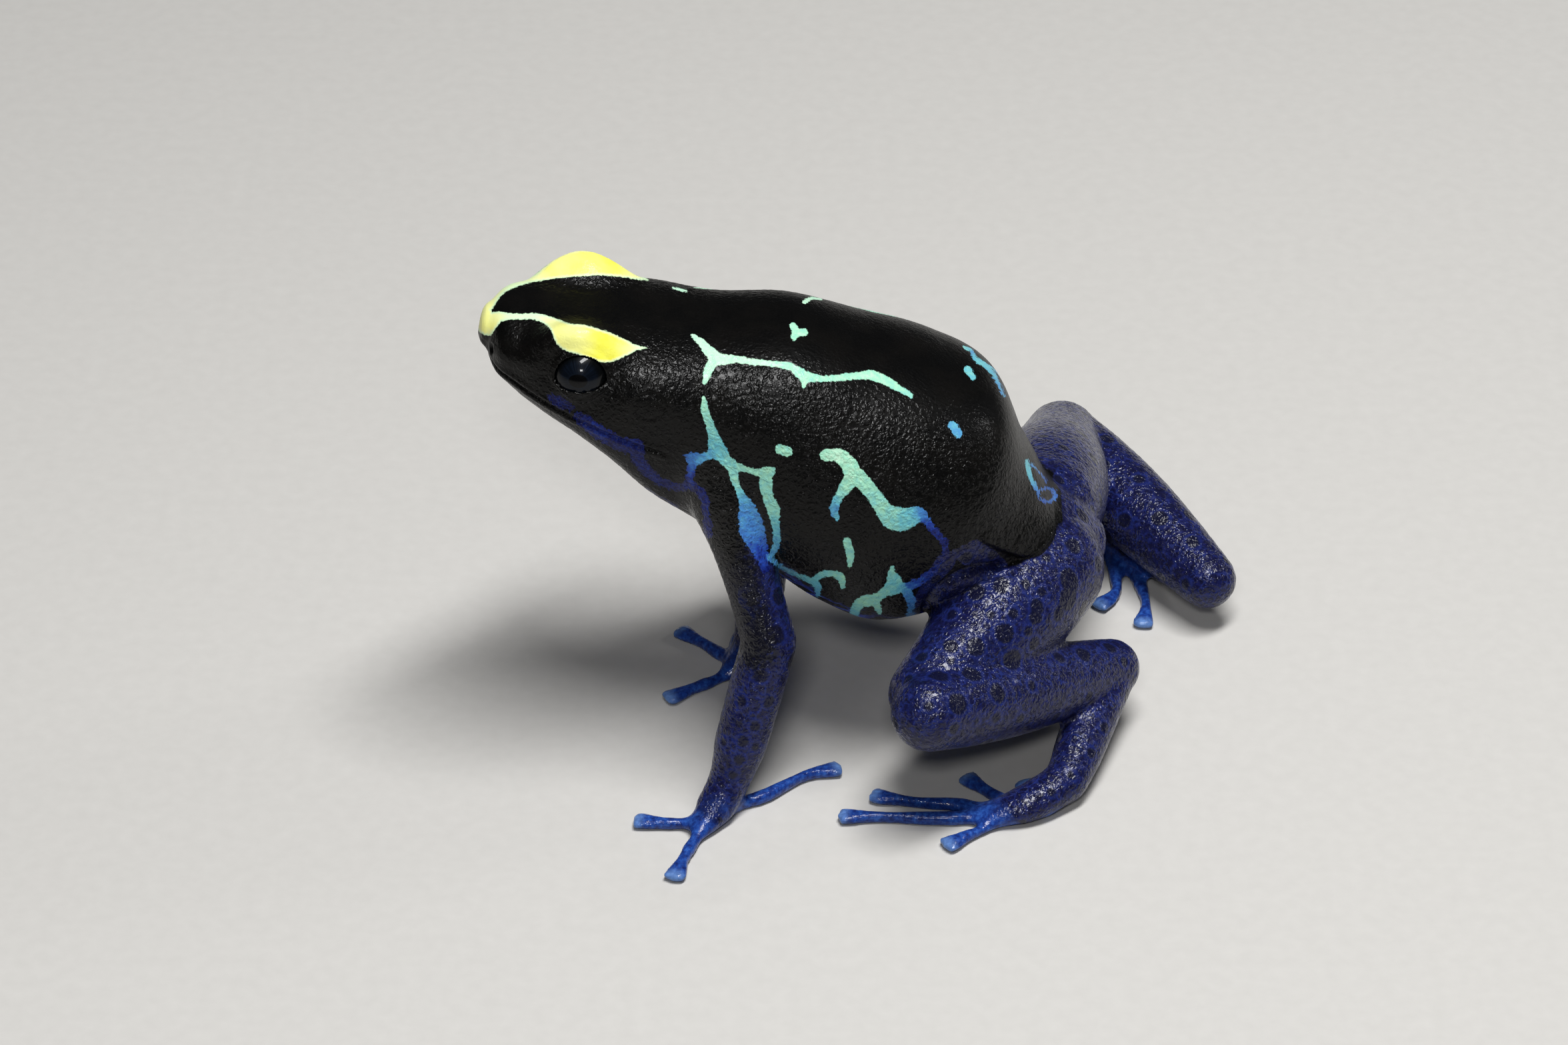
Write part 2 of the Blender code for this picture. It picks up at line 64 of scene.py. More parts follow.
eye_low, eye_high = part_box("eye_left")
plan_eye = Vector((EYE_CENTRE[0], -EYE_CENTRE[1], EYE_CENTRE[2]))
to_frame = Matrix.Translation((eye_low + eye_high) / 2 - plan_eye * MM) @ Matrix.Scale(MM, 4)

forward = np.array([0.0, math.cos(CAMERA_ELEVATION), -math.sin(CAMERA_ELEVATION)])
upward = np.array([0.0, math.sin(CAMERA_ELEVATION), math.cos(CAMERA_ELEVATION)])
camera_place = np.array(CAMERA_AIM) - forward * CAMERA_DISTANCE
pixels_per_slope = PHOTO_WIDTH * LENS / SENSOR_WIDTH
PIXELS_PER_MM = pixels_per_slope / CAMERA_DISTANCE


def seen(points):
    """Where points of the plan lie in the photograph, in its pixels."""
    away = points - camera_place
    depth = away @ forward
    across = PHOTO_WIDTH / 2 + pixels_per_slope * away[:, 0] / depth
    down = PHOTO_HEIGHT / 2 - pixels_per_slope * (away @ upward) / depth
    return np.stack([across, down], axis=1)


lens = bpy.data.cameras.new("camera")
lens.lens, lens.sensor_width = LENS, SENSOR_WIDTH
lens.clip_start, lens.clip_end = 0.01, 10
camera = bpy.data.objects.new("camera", lens)
camera.location = to_frame @ Vector(camera_place)
camera.rotation_euler = (math.pi / 2 - CAMERA_ELEVATION, 0, 0)
bpy.context.scene.collection.objects.link(camera)
bpy.context.scene.camera = camera


# Head and trunk
# A dart frog's body is short and smooth, with no neck to see: one row of rings, snout to vent.
# Over each eye the skin swells into the upper lid.
LEFT, RIGHT = -1, 1
BODY = [
    # x, z, half width, reach up, reach down, squareness
    (-24.85, 31.0, 1.8, 1.3, 1.2, 2.2),
    (-24.2, 30.9, 3.2, 1.9, 2.1, 2.3),
    (-22.6, 30.5, 4.5, 2.45, 3.1, 2.55),
    (-20.2, 29.9, 5.8, 2.9, 4.0, 2.8),
    (-17.4, 29.2, 6.7, 3.3, 5.1, 2.8),
    (-14.2, 28.2, 7.2, 3.8, 6.7, 2.65),
    (-10.8, 26.8, 7.1, 4.95, 8.45, 2.55),
    (-7.0, 25.0, 8.1, 6.9, 9.0, 2.45),
    (-2.6, 22.0, 9.7, 8.35, 9.2, 2.28),
    (1.6, 19.4, 10.3, 9.2, 10.0, 2.25),
    (5.2, 17.3, 9.8, 9.0, 9.9, 2.2),
    (8.6, 15.2, 7.7, 6.0, 7.4, 2.1),
    (11.8, 13.2, 5.7, 3.8, 4.6, 2.1),
    (14.8, 12.0, 3.9, 2.7, 3.0, 2.1),
    (16.6, 11.3, 2.3, 1.6, 1.6, 2.0),
]
BODY_RINGS, BODY_SIDES = 150, 96
SNOUT_CAP, VENT_CAP = 0.6, 0.7
LEAN = [(-26.0, 0.0), (-8.0, 0.0), (6.0, 1.0), (17.0, 2.2)]  # x, and the spine's drift to +Y
DOME = dict(centre=(-18.5, 4.7, 32.3), reach=(4.5, 3.0, 2.7), height=1.8, rise=(0, 0.35, 0.94))
UP = np.array([0.0, 0.0, 1.0])

forms = []  # the closed forms under the skin, each a row of rings


def spline(knots, values, at):
    """Values read from a smooth cubic through the knots."""
    knots = np.asarray(knots, float)
    values = np.asarray(values, float)
    slopes = np.gradient(values, knots, axis=0)
    i = np.clip(np.searchsorted(knots, at) - 1, 0, len(knots) - 2)
    width = knots[i + 1] - knots[i]
    t = (at - knots[i]) / width
    if values.ndim > 1:
        t, width = t[:, None], width[:, None]
    return (
        (2 * t**3 - 3 * t**2 + 1) * values[i]
        + (t**3 - 2 * t**2 + t) * width * slopes[i]
        + (3 * t**2 - 2 * t**3) * values[i + 1]
        + (t**3 - t**2) * width * slopes[i + 1]
    )


def ring(centre, tangent, level, half_width, above, below, squareness, count):
    """One cross-section, square to the tangent, with its top towards level."""
    side = np.cross(tangent, level)
    side /= np.linalg.norm(side)
    angles = np.linspace(0, 2 * math.pi, count, endpoint=False)
    power = 2 / squareness
    across = np.sign(np.sin(angles)) * np.abs(np.sin(angles)) ** power * half_width
    height = np.sign(np.cos(angles)) * np.abs(np.cos(angles)) ** power
    height = np.where(height > 0, height * above, height * below)
    return centre + np.outer(across, side) + np.outer(height, np.cross(side, tangent))


def loft(centres, at, level, shapes, cap_start, cap_end, sides):
    """Rings along a line of centres, with a rounded end of the given depth at each end."""
    tangents = np.gradient(centres, at, axis=0)
    tangents /= np.linalg.norm(tangents, axis=1)[:, None]
    angles = np.linspace(math.pi / 2, 0, 7)[:-1] * 0.96
    rows = []
    for a in angles:
        rows.append((centres[0] - tangents[0] * cap_start * math.sin(a), tangents[0], shapes[0], math.cos(a)))
    rows += [(*row, 1.0) for row in zip(centres, tangents, shapes)]
    for a in angles[::-1]:
        rows.append((centres[-1] + tangents[-1] * cap_end * math.sin(a), tangents[-1], shapes[-1], math.cos(a)))
    return [
        ring(centre, tangent, level, *(np.array(shape[:3]) * narrow), shape[3], sides)
        for centre, tangent, shape, narrow in rows
    ]


def spine_drift(x):
    knots, values = zip(*LEAN)
    return spline(knots, values, np.clip(x, knots[0], knots[-1]))


table = np.array(BODY)
knots = np.concatenate([[0], np.cumsum(np.linalg.norm(np.diff(table[:, :2], axis=0), axis=1))])
at = np.linspace(0, knots[-1], BODY_RINGS)
x, z, *shape = spline(knots, table, at).T
table_x, table_z = x, z
body = loft(np.stack([x, spine_drift(x), z], axis=1), at, UP, np.array(shape).T, SNOUT_CAP, VENT_CAP, BODY_SIDES)
for side in (LEFT, RIGHT):
    for points in body:
        away = (points - np.array(DOME["centre"]) * (1, side, 1)) / DOME["reach"]
        swell = np.clip(1 - (away**2).sum(axis=1), 0, 1) ** 2 * DOME["height"]
        points += np.outer(swell, np.array(DOME["rise"]) * (1, side, 1))
forms.append(body)


# Limbs
# Slim arms and folded hind legs, each a chain of round-ended muscles that the skin covers as one.
# A piece runs from joint to joint and has its half widths given along it.
ARM = {
    LEFT: [(-9.4, -4.8, 23.6), (-5.9, -10.3, 11.9), (-8.5, -13.1, 2.6)],
    RIGHT: [(-9.4, 4.8, 23.6), (-6.0, 9.2, 12.2), (-6.9, 3.8, 2.6)],
}
ARM_RADII = [(3.1, 2.7, 2.1, 1.85, 1.95), (1.9, 1.9, 1.85, 1.8, 1.55)]
LEG = {
    LEFT: [(13.2, -1.4, 11.7), (4.9, -15.1, 9.5), (17.8, -3.2, 4.45), (14.5, -12.4, 1.6)],
    RIGHT: [(13.2, 5.4, 11.7), (15.4, 22.8, 6.2), (25.3, 8.6, 3.6), (21.4, 15.4, 1.6)],
}
THIGH_END = {LEFT: (4.9, -12.6, 9.2), RIGHT: (15.4, 22.8, 6.2)}  # a folded thigh ends behind the knee
LEG_RADII = [(4.1, 4.3, 4.0, 3.3, 2.75), (2.65, 2.95, 2.95, 2.6, 2.1), (1.95, 1.85, 1.75, 1.6)]
LIMB_STEP, LIMB_SIDES = 0.4, 40


def tube(points, widths, heights, level, step, sides):
    """A bent, round-ended form through the points. Its half widths and heights are spread along it."""
    points = np.asarray(points, float)
    knots = np.concatenate([[0], np.cumsum(np.linalg.norm(np.diff(points, axis=0), axis=1))])
    at = np.linspace(0, knots[-1], max(3, round(knots[-1] / step) + 1))
    share = np.linspace(0, knots[-1], len(widths))
    width, height = spline(share, widths, at), spline(share, heights, at)
    shapes = np.stack([width, height, height, np.full(len(at), 2.0)], axis=1)
    caps = min(width[0], height[0]), min(width[-1], height[-1])
    rings = loft(spline(knots, points, at), at, level, shapes, *caps, sides)
    for points in rings:
        points[:, 2] = np.maximum(points[:, 2], 0)
    return rings


for side in (LEFT, RIGHT):
    for joints, all_radii, level in ((ARM[side], ARM_RADII, (0, 1, 0)), (LEG[side], LEG_RADII, UP)):
        for start, end, radii in zip(joints, joints[1:], all_radii):
            if start == LEG[side][0]:
                end = THIGH_END[side]
            forms.append(tube([start, end], radii, radii, level, LIMB_STEP, LIMB_SIDES))


# Hands and feet
# A narrow palm or sole, and slender digits that each end in a wide, blunt disc. No webbing.
# Digits are given by the points that they run through on the floor, root to tip.
PALM = {
    LEFT: [(-8.5, -13.1, 2.6), (-9.6, -14.6, 1.05), (-10.5, -16.3, 0.6)],
    RIGHT: [(-6.9, 3.8, 2.6), (-7.6, 2.8, 1.05), (-8.7, 1.8, 0.6)],
}
PALM_WIDTHS, PALM_HEIGHTS = (1.55, 1.4, 1.0), (1.5, 1.2, 0.75)
SOLE = {
    LEFT: [(14.5, -12.4, 1.6), (11.6, -14.2, 1.05), (9.2, -14.9, 0.62)],
    RIGHT: [(21.4, 15.4, 1.6), (19.2, 17.0, 1.05), (16.9, 18.2, 0.62)],
}
SOLE_WIDTHS, SOLE_HEIGHTS = (1.6, 1.5, 1.25), (1.55, 1.2, 0.8)
FINGERS = {
    LEFT: [
        [(-9.8, -14.8), (-9.8, -12.4), (-9.4, -9.8), (-8.6, -7.4)],
        [(-10.1, -15.4), (-12.4, -15.6), (-14.9, -15.2)],
        [(-10.4, -16.0), (-11.4, -18.6), (-12.3, -21.4)],
        [(-9.4, -14.7), (-8.0, -13.3), (-6.4, -12.6), (-4.9, -11.4), (-3.2, -10.1), (-1.2, -9.35)],
    ],
    RIGHT: [
        [(-7.6, 2.6), (-7.0, -0.6), (-6.6, -3.4)],
        [(-8.4, 1.8), (-10.6, 0.3), (-13.0, -1.2)],
        [(-8.2, 2.6), (-10.4, 5.0), (-12.3, 6.8)],
        [(-8.2, 2.6), (-8.3, 5.2), (-7.5, 7.8), (-6.4, 9.8)],
    ],
}
TOES = {
    LEFT: [
        [(13.0, -14.0), (12.4, -12.4), (11.6, -11.0)],
        [(11.2, -14.0), (9.4, -12.3), (7.7, -10.4)],
        [(10.0, -14.2), (7.0, -13.5), (4.0, -13.2), (1.3, -12.4)],
        [(9.8, -14.9), (6.0, -15.0), (2.4, -14.9), (-0.9, -14.7)],
        [(10.2, -15.0), (8.2, -16.5), (6.2, -17.9)],
    ],
    RIGHT: [
        [(20.0, 15.8), (20.8, 12.6), (21.1, 9.9), (20.8, 7.6)],
        [(18.8, 16.6), (19.1, 13.4), (18.9, 11.2), (17.7, 9.9)],
        [(17.6, 17.4), (14.2, 16.4), (11.2, 15.6)],
        [(17.4, 18.0), (13.4, 18.9), (10.4, 19.2), (7.2, 19.4)],
        [(17.8, 18.2), (15.4, 20.7), (12.8, 22.2)],
    ],
}
DIGIT_RADIUS, DIGIT_HEIGHT = 0.52, 0.39
DISC_HALF_WIDTH, DISC_HALF_HEIGHT, DISC_LENGTH = 0.84, 0.38, 1.7
DISC_MIDDLE, DISC_FLARE = 0.45, 0.83  # a place on the disc, back from its tip, and its width there, as shares
DIGIT_STEP, DIGIT_SIDES = 0.2, 24

digit_tips = []  # each disc's middle and the way its digit points
for side in (LEFT, RIGHT):
    forms.append(tube(PALM[side], PALM_WIDTHS, PALM_HEIGHTS, UP, LIMB_STEP, LIMB_SIDES))
    forms.append(tube(SOLE[side], SOLE_WIDTHS, SOLE_HEIGHTS, UP, LIMB_STEP, LIMB_SIDES))
    for plan in FINGERS[side] + TOES[side]:
        points = np.array([(*place, DIGIT_HEIGHT) for place in plan])
        length = np.linalg.norm(np.diff(points, axis=0), axis=1).sum()
        neck = 1 - DISC_LENGTH / length
        shares = [0, neck / 2, neck, 1 - DISC_MIDDLE * DISC_LENGTH / length, 1]
        shaft = [DIGIT_RADIUS * 1.15, DIGIT_RADIUS, DIGIT_RADIUS * 0.86]
        widths = [*shaft, DISC_HALF_WIDTH * DISC_FLARE, DISC_HALF_WIDTH]
        heights = [*shaft, DISC_HALF_HEIGHT, DISC_HALF_HEIGHT * 0.85]
        at = np.linspace(0, 1, 21)
        forms.append(tube(points, spline(shares, widths, at), spline(shares, heights, at), UP, DIGIT_STEP, DIGIT_SIDES))
        way = (points[-1] - points[-2]) / np.linalg.norm(points[-1] - points[-2])
        digit_tips.append((points[-1] - way * DISC_LENGTH * 0.3, way))


# The skin's sheet
# All the forms are wrapped in one closed sheet of even, square cells, which is then relaxed,
# most of all where a limb grows from the body, so that the muscles flow into each other.
CELL = 0.24
BLENDS = [
    # centre, reach, strength
    (ARM[LEFT][0], 8.0, 1.0),
    (ARM[RIGHT][0], 8.0, 1.0),
    (LEG[LEFT][0], 5.0, 0.3),
    (LEG[RIGHT][0], 5.0, 0.3),
    (ARM[LEFT][1], 3.0, 0.45),
    (ARM[RIGHT][1], 3.0, 0.45),
    (LEG[LEFT][1], 3.0, 0.25),
    (LEG[RIGHT][1], 3.0, 0.25),
    (LEG[LEFT][2], 2.6, 0.25),
    (LEG[RIGHT][2], 2.6, 0.25),
    (ARM[LEFT][2], 2.6, 0.9),
    (ARM[RIGHT][2], 2.6, 0.9),
    (LEG[LEFT][3], 2.8, 0.9),
    (LEG[RIGHT][3], 2.8, 0.9),
    (PALM[LEFT][2], 2.2, 0.5),
    (PALM[RIGHT][2], 2.2, 0.5),
    (SOLE[LEFT][2], 2.4, 0.5),
    (SOLE[RIGHT][2], 2.4, 0.5),
]
BLEND_ROUNDS = 60


def mesh_from(name, points, faces):
    made = bpy.data.meshes.new(name)
    made.from_pydata(points, [], faces)
    return made


def sheet_of(rings):
    """The faces of a row of rings, with a fan at each end."""
    count, sides = len(rings), len(rings[0])
    points = [*np.concatenate(rings), rings[0].mean(axis=0), rings[-1].mean(axis=0)]
    faces = []
    for i in range(count - 1):
        for j in range(sides):
            k = (j + 1) % sides
            faces.append((i * sides + j, i * sides + k, (i + 1) * sides + k, (i + 1) * sides + j))
    last = (count - 1) * sides
    for j in range(sides):
        k = (j + 1) % sides
        faces.append((k, j, count * sides))
        faces.append((last + j, last + k, count * sides + 1))
    return points, faces


def applied(thing):
    """The object's mesh with its modifiers worked in."""
    graph = bpy.context.evaluated_depsgraph_get()
    made = bpy.data.meshes.new_from_object(thing.evaluated_get(graph))
    thing.modifiers.clear()
    thing.data = made
    return made


def coordinates(mesh):
    flat = np.empty(len(mesh.vertices) * 3)
    mesh.vertices.foreach_get("co", flat)
    return flat.reshape(-1, 3)


def outward_of(mesh):
    flat = np.empty(len(mesh.vertices) * 3)
    mesh.vertex_normals.foreach_get("vector", flat)
    return flat.reshape(-1, 3)


def edges_of(mesh):
    flat = np.empty(len(mesh.edges) * 2, np.int64)
    mesh.edges.foreach_get("vertices", flat)
    return flat.reshape(-1, 2)


def neighbour_mean(values, edges):
    """For each point, the mean of the values at the points that share an edge with it."""
    first, second = edges.T
    count = len(values)
    ties = np.bincount(edges.ravel(), minlength=count)
    columns = []
    for column in np.atleast_2d(values.T):
        total = np.bincount(first, column[second], count) + np.bincount(second, column[first], count)
        columns.append(total / ties)
    return np.array(columns).T.reshape(values.shape)


def fade(distance, reach):
    """1 at no distance, falling smoothly to 0 at the reach."""
    near = np.clip(1 - distance / reach, 0, 1)
    return near * near * (3 - 2 * near)


all_points, all_faces = [], []
for rings in forms:
    points, faces = sheet_of(rings)
    all_faces += [tuple(i + len(all_points) for i in face) for face in faces]
    all_points += points
skin = bpy.data.objects.new("skin", mesh_from("skin", all_points, all_faces))
bpy.context.scene.collection.objects.link(skin)
wrap = skin.modifiers.new("wrap", "REMESH")
wrap.mode = "VOXEL"
wrap.voxel_size = CELL
wrap.use_smooth_shade = True
sheet = applied(skin)

points, edges = coordinates(sheet), edges_of(sheet)
blend = np.zeros(len(points))
for centre, reach, strength in BLENDS:
    distance = np.linalg.norm(points - centre, axis=1)
    blend = np.maximum(blend, fade(distance, reach) ** 0.5 * strength)
for _ in range(BLEND_ROUNDS):
    points += (neighbour_mean(points, edges) - points) * (0.5 * blend)[:, None]
for amount in (0.5, -0.53) * 4:
    points += (neighbour_mean(points, edges) - points) * amount
sheet.vertices.foreach_set("co", points.ravel())

fine = skin.modifiers.new("fine", "SUBSURF")
fine.levels = fine.render_levels = 1
sheet = applied(skin)
points, edges = coordinates(sheet), edges_of(sheet)

# The head's fine forms
# Lids fold round each ball and line a pocket behind it, and lips close on the line of the mouth.
# A nostril opens on each side of the snout, and the small eardrum lies flush behind the eye.
EYE_RADIUS = 2.0
LID_LOOK = (-0.05, 0.95, 0.22)  # the way the right eye's opening faces
LID_OPENING = dict(top=51, bottom=20, front=55, back=55)  # degrees from that way, seen from the ball's middle
LID_CLEAR, LID_EDGE, LID_REACH = 0.03, 0.13, 34
LOWER_LID = 22  # degrees that the lower lid is broader than the upper one, up to its rim
MOUTH_FRONT, MOUTH_HINGE = np.array([-25.0, 0.0, 29.9]), np.array([-12.6, 0.0, 25.0])
NOSTRIL, NOSTRIL_RADIUS = (-24.45, 2.75, 30.75), 0.27
EARDRUM, EARDRUM_RADIUS = (-13.9, 7.1, 29.0), 1.05
CANTHUS = ((-23.7, 3.6, 31.0), (-21.2, 4.9, 30.9))


def ridge(distance, width):
    """A smooth bump across a line, 1 on it."""
    return np.exp(-((distance / width) ** 2))


def unit(vector):
    return np.asarray(vector, float) / np.linalg.norm(vector)


def from_line(points, start, end):
    """Each point's distance from the stretch between two places."""
    start, end = np.asarray(start, float), np.asarray(end, float)
    along = np.clip((points - start) @ (end - start) / ((end - start) @ (end - start)), 0, 1)
    return np.linalg.norm(points - start - np.outer(along, end - start), axis=1)


def fold_lids(points, side):
    """Opens the skin over the ball, tucks it in behind, and thickens the rim into lids."""
    centre = np.array(EYE_CENTRE) * (1, side, 1)
    look = unit(np.array(LID_LOOK) * (1, side, 1))
    top = unit(UP - look * (UP @ look))
    front = np.cross(top, look) * side
    away = points - centre
    radius = np.linalg.norm(away, axis=1)
    near = np.flatnonzero((radius < EYE_RADIUS + 3.0) & (away @ look > -0.4))
    away, radius = away[near], radius[near]
    angle = np.degrees(np.arccos(np.clip(away @ look / radius, -1, 1)))
    high, ahead = away @ top, away @ front
    flat = np.hypot(high, ahead) + 1e-9
    high, ahead = high / flat, ahead / flat
    half_high = np.where(high > 0, LID_OPENING["top"], LID_OPENING["bottom"])
    half_wide = np.where(ahead > 0, LID_OPENING["front"], LID_OPENING["back"])
    opening = 1 / np.hypot(high / half_high, ahead / half_wide)
    below = np.clip(-high, 0, 1) ** 2 * LOWER_LID
    past = angle - opening
    sideways = np.outer(high, top) + np.outer(ahead, front)
    lid = EYE_RADIUS + LID_EDGE + 0.16 * ridge(past - 8 - 0.7 * below, 5)
    share = 1 - fade(past - below, LID_REACH) * fade(radius - lid - 0.5, 1.6)
    rim = lid + (radius - lid) * share
    tucked = 180 - (180 - opening) * angle / opening
    turned = np.radians(np.where(past < 0, tucked, angle))
    reach = np.where(past < 0, EYE_RADIUS + LID_CLEAR, rim)
    moved = np.outer(np.cos(turned), look) + sideways * np.sin(turned)[:, None]
    inside = past < LID_REACH + below
    points[near[inside]] = (centre + moved * reach[:, None])[inside]


out = outward_of(sheet)
gape = unit(np.cross(MOUTH_HINGE - MOUTH_FRONT, (0, -1, 0)))
gape *= np.sign(gape[2])
height = (points - MOUTH_FRONT) @ gape
in_mouth = 1 - fade(MOUTH_HINGE[0] + 0.6 - points[:, 0], 1.6)
in_mouth[points[:, 0] > MOUTH_HINGE[0] + 0.6] = 0
lips = 0.09 * ridge(height - 0.36, 0.2) + 0.08 * ridge(height + 0.34, 0.2) - 0.17 * ridge(height, 0.13)
rise = lips * in_mouth
for side in (LEFT, RIGHT):
    mirror = (1, side, 1)
    distance = np.linalg.norm(points - np.array(NOSTRIL) * mirror, axis=1)
    rise += 0.07 * ridge(distance - NOSTRIL_RADIUS * 1.6, 0.2) - 0.3 * ridge(distance, NOSTRIL_RADIUS)
    distance = np.linalg.norm(points - np.array(EARDRUM) * mirror, axis=1)
    rise += 0.04 * ridge(distance - EARDRUM_RADIUS * 1.15, 0.16) - 0.05 * ridge(distance - EARDRUM_RADIUS * 0.9, 0.14)
    distance = from_line(points, *(np.array(CANTHUS) * mirror))
    rise += 0.16 * fade(distance, 1.3)
points += out * rise[:, None]
for side in (LEFT, RIGHT):
    fold_lids(points, side)


# Discs of the digits
# On top of each disc lie two flat scutes, parted by a groove.
for middle, way in digit_tips:
    across = np.cross(UP, way)
    away = points - middle
    on_disc = fade(np.linalg.norm(away, axis=1), 1.2) * np.clip(out[:, 2] * 2, 0, 1)
    lowered = 0.07 * ridge(away @ across, 0.11) + 0.05 * ridge(away @ way + 0.55, 0.13)
    points[:, 2] -= lowered * on_disc

sheet.vertices.foreach_set("co", points.ravel())
sheet.update()
out = outward_of(sheet)


# Markings
# Yellow runs over the snout and each eyelid, and turquoise lines turn blue towards the limbs.
# Each mark is a brush stroke: where it passes in the photograph, in pixels, its half width there,
# and its tone, from 0, the palest, to 1, the deepest. The far side repeats them with changes.
YELLOW = [
    [(728, 462, 7, 0.5), (727, 476, 13, 0.65), (728, 487, 14, 0.65), (733, 497, 7, 0.4)],
    [
        (733, 485, 14, 0.65),
        (746, 476, 9, 0.4),
        (758, 475, 6, 0.1),
        (778, 475, 4.5, 0.0),
        (803, 475, 5, 0.0),
        (822, 481, 7, 0.3),
        (838, 492, 12, 0.55),
        (852, 505, 20, 0.6),
        (873, 510, 23, 0.75),
        (892, 516, 23.5, 0.95),
        (909, 521, 23, 1.0),
        (925, 522, 17, 0.9),
        (939, 522, 11, 0.7),
        (953, 522, 4.5, 0.3),
        (970, 522, 1, 0.1),
    ],
    # The far eyelid.
    [
        (732, 459, 8, 0.5),
        (752, 437, 5, 0.2),
        (769, 428, 4.5, 0.1),
        (791, 421, 4.5, 0.2),
        (809, 415, 7, 0.4),
        (826, 407, 12, 0.8),
        (844, 399.5, 17.5, 0.75),
        (866, 395, 20, 0.8),
        (884, 394, 20, 0.85),
        (906, 395, 18.5, 0.9),
        (923, 401, 14, 0.9),
        (941, 408, 9, 0.7),
        (956, 415, 5, 0.4),
        (972, 420, 1, 0.1),
    ],
]
